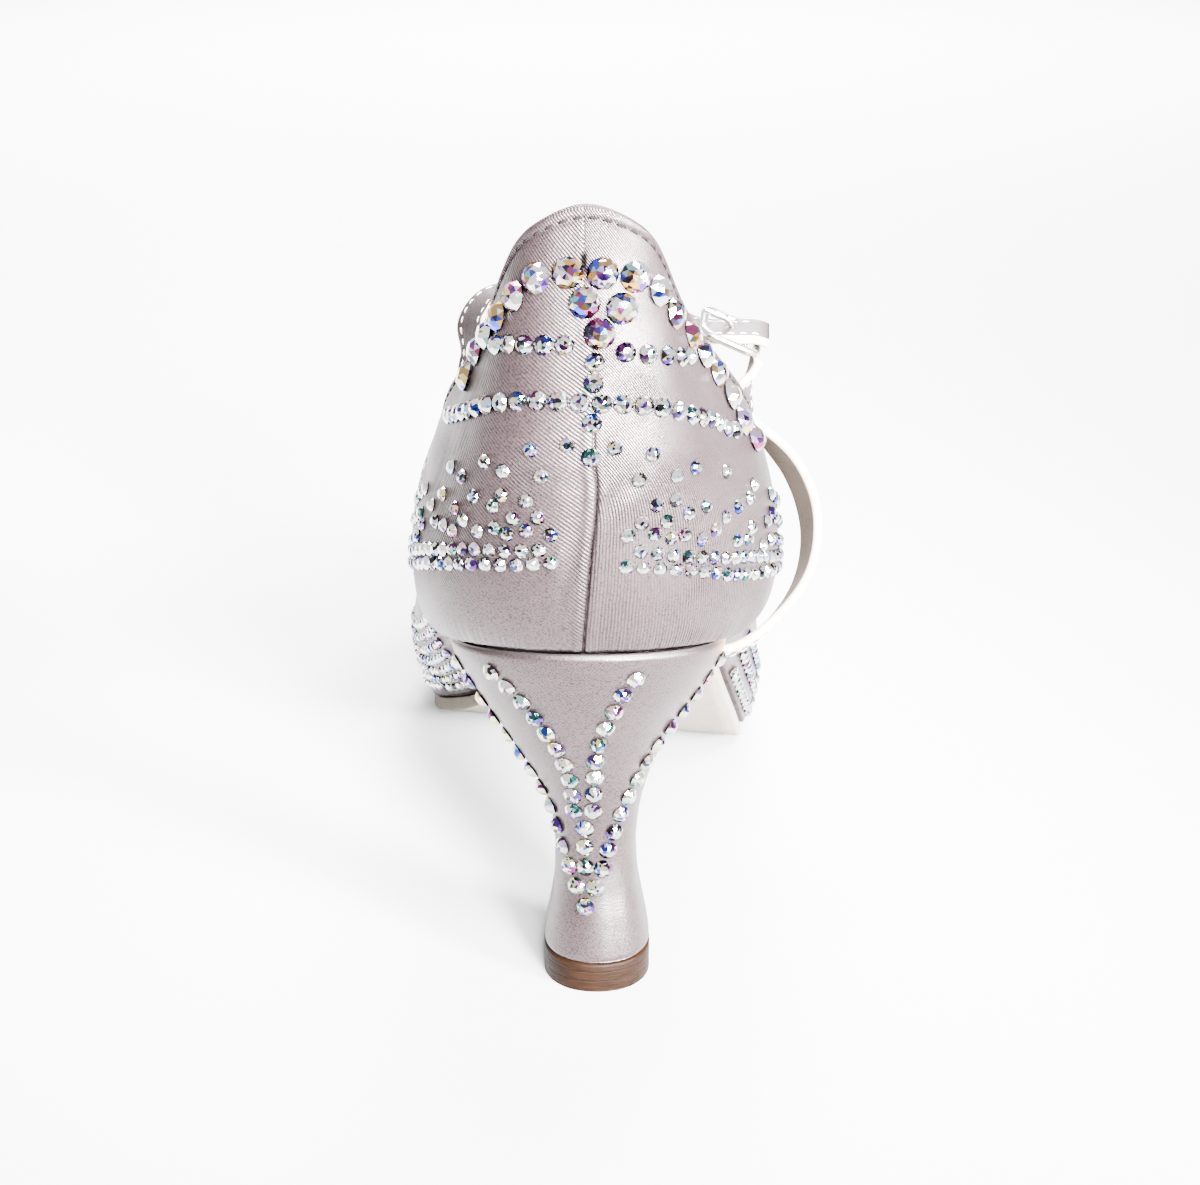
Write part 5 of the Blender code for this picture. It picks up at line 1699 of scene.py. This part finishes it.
class SHOE_OT_heel_crystals(bpy.types.Operator):
    """Two nested V rows of crystals down the back of the heel"""

    bl_idname = "shoe.heel_crystals"
    bl_label = "Heel crystals"

    def execute(self, context):
        looks = context.scene.shoe_looks
        spots = []
        for places in HEEL_ROWS:
            spots += spots_on(heel_face, heel_out,
                              row_places(places, 1.13 * looks.heel_crystal, heel_face),
                              looks.heel_crystal)
        spots += spots_on(heel_face, heel_out, HEEL_SINGLE, looks.heel_crystal)
        crystals("crystals_heel", apart(spots, 0.9), 12, 53, "heel")
        return {"FINISHED"}


# ---- stage ----------------------------------------------------------------------------------

FLOOR_HALF = 6.0
WORLD_STRENGTH = 1.5
# Each light: name, place, aim, size, watts and spread in degrees.
LIGHTS = (
    ("key", (0.42, -0.62, 0.82), (0.0, 0.12, 0.10), 0.26, 14.0, 60.0),
    ("sheen", (0.30, -0.80, 0.36), (0.0, -0.04, 0.15), 0.18, 24.0, 46.0),
    ("flank", (0.66, -0.56, 0.32), (0.0, -0.04, 0.15), 0.18, 20.0, 46.0),
    ("tab", (0.08, -0.60, 0.50), (0.0, -0.04, 0.17), 0.14, 6.0, 50.0),
    ("top", (0.10, 0.40, 1.10), (0.0, 0.25, 0.0), 0.50, 60.0, 120.0),
    ("back", (0.0, 1.60, 1.30), (0.0, 1.70, 0.0), 1.60, 620.0, 125.0),
)
CAMERA_PLACE = (0.0006, -0.3226, 0.2083)
CAMERA_FALL = 21.0
CAMERA_LENS = 62.1


class SHOE_OT_stage(bpy.types.Operator):
    """Pale floor, soft studio light and the camera behind the heel"""

    bl_idname = "shoe.stage"
    bl_label = "Stage"

    def execute(self, context):
        scene = context.scene
        mesh = bpy.data.meshes.new("floor")
        half = FLOOR_HALF
        mesh.from_pydata([(-half, -half, 0.0), (half, -half, 0.0), (half, half, 0.0),
                          (-half, half, 0.0)], [], [(0, 1, 2, 3)])
        mesh.materials.append(look("floor_paper"))
        floor = bpy.data.objects.new("floor", mesh)
        scene.collection.objects.link(floor)

        world = bpy.data.worlds.new("studio")
        world.use_nodes = True
        world.node_tree.nodes["Background"].inputs["Color"].default_value = (1.0, 1.0, 1.0, 1.0)
        world.node_tree.nodes["Background"].inputs["Strength"].default_value = WORLD_STRENGTH
        scene.world = world
        for row in LIGHTS:
            self.light(*row)

        data = bpy.data.cameras.new("camera")
        camera = bpy.data.objects.new("camera", data)
        scene.collection.objects.link(camera)
        camera.location = Vector(CAMERA_PLACE) + Vector(SHIFT)
        camera.rotation_euler = (math.radians(90.0 - CAMERA_FALL), 0.0, 0.0)
        data.sensor_width = 36.0
        data.lens = CAMERA_LENS
        data.clip_start = 0.01
        scene.camera = camera
        return {"FINISHED"}

    @staticmethod
    def light(name, place, aim, size, watts, spread):
        """Square soft light aimed at a point, with its spread in degrees."""
        data = bpy.data.lights.new(name, "AREA")
        data.shape = "SQUARE"
        data.size = size
        data.energy = watts
        data.spread = math.radians(spread)
        lamp = bpy.data.objects.new(name, data)
        bpy.context.scene.collection.objects.link(lamp)
        lamp.location = place
        lamp.rotation_mode = "QUATERNION"
        lamp.rotation_quaternion = (Vector(aim) - Vector(place)).to_track_quat("-Z", "Y")


OPERATORS = (
    SHOE_OT_upper,
    SHOE_OT_stitches,
    SHOE_OT_sole,
    SHOE_OT_heel,
    SHOE_OT_heel_tip,
    SHOE_OT_strap,
    SHOE_OT_buckle,
    SHOE_OT_counter_crystals,
    SHOE_OT_side_crystals,
    SHOE_OT_heel_crystals,
    SHOE_OT_stage,
)


class SHOE_PT_panel(bpy.types.Panel):
    """Pieces of the shoe and their looks"""

    bl_idname = "SHOE_PT_panel"
    bl_label = "Ballroom court shoe"
    bl_space_type = "VIEW_3D"
    bl_region_type = "UI"
    bl_category = "Shoe"

    def draw(self, context):
        column_of = self.layout.column()
        for name in ShoeLooks.__annotations__:
            column_of.prop(context.scene.shoe_looks, name)
        for operator in OPERATORS:
            column_of.operator(operator.bl_idname)


CLASSES = (ShoeLooks, *OPERATORS, SHOE_PT_panel)


def register():
    for item in CLASSES:
        bpy.utils.register_class(item)
    bpy.types.Scene.shoe_looks = bpy.props.PointerProperty(type=ShoeLooks)


def unregister():
    del bpy.types.Scene.shoe_looks
    for item in reversed(CLASSES):
        bpy.utils.unregister_class(item)


def main():
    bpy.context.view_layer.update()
    register()
    for operator in OPERATORS:
        group, name = operator.bl_idname.split(".")
        getattr(getattr(bpy.ops, group), name)()


if __name__ == "__main__":
    main()
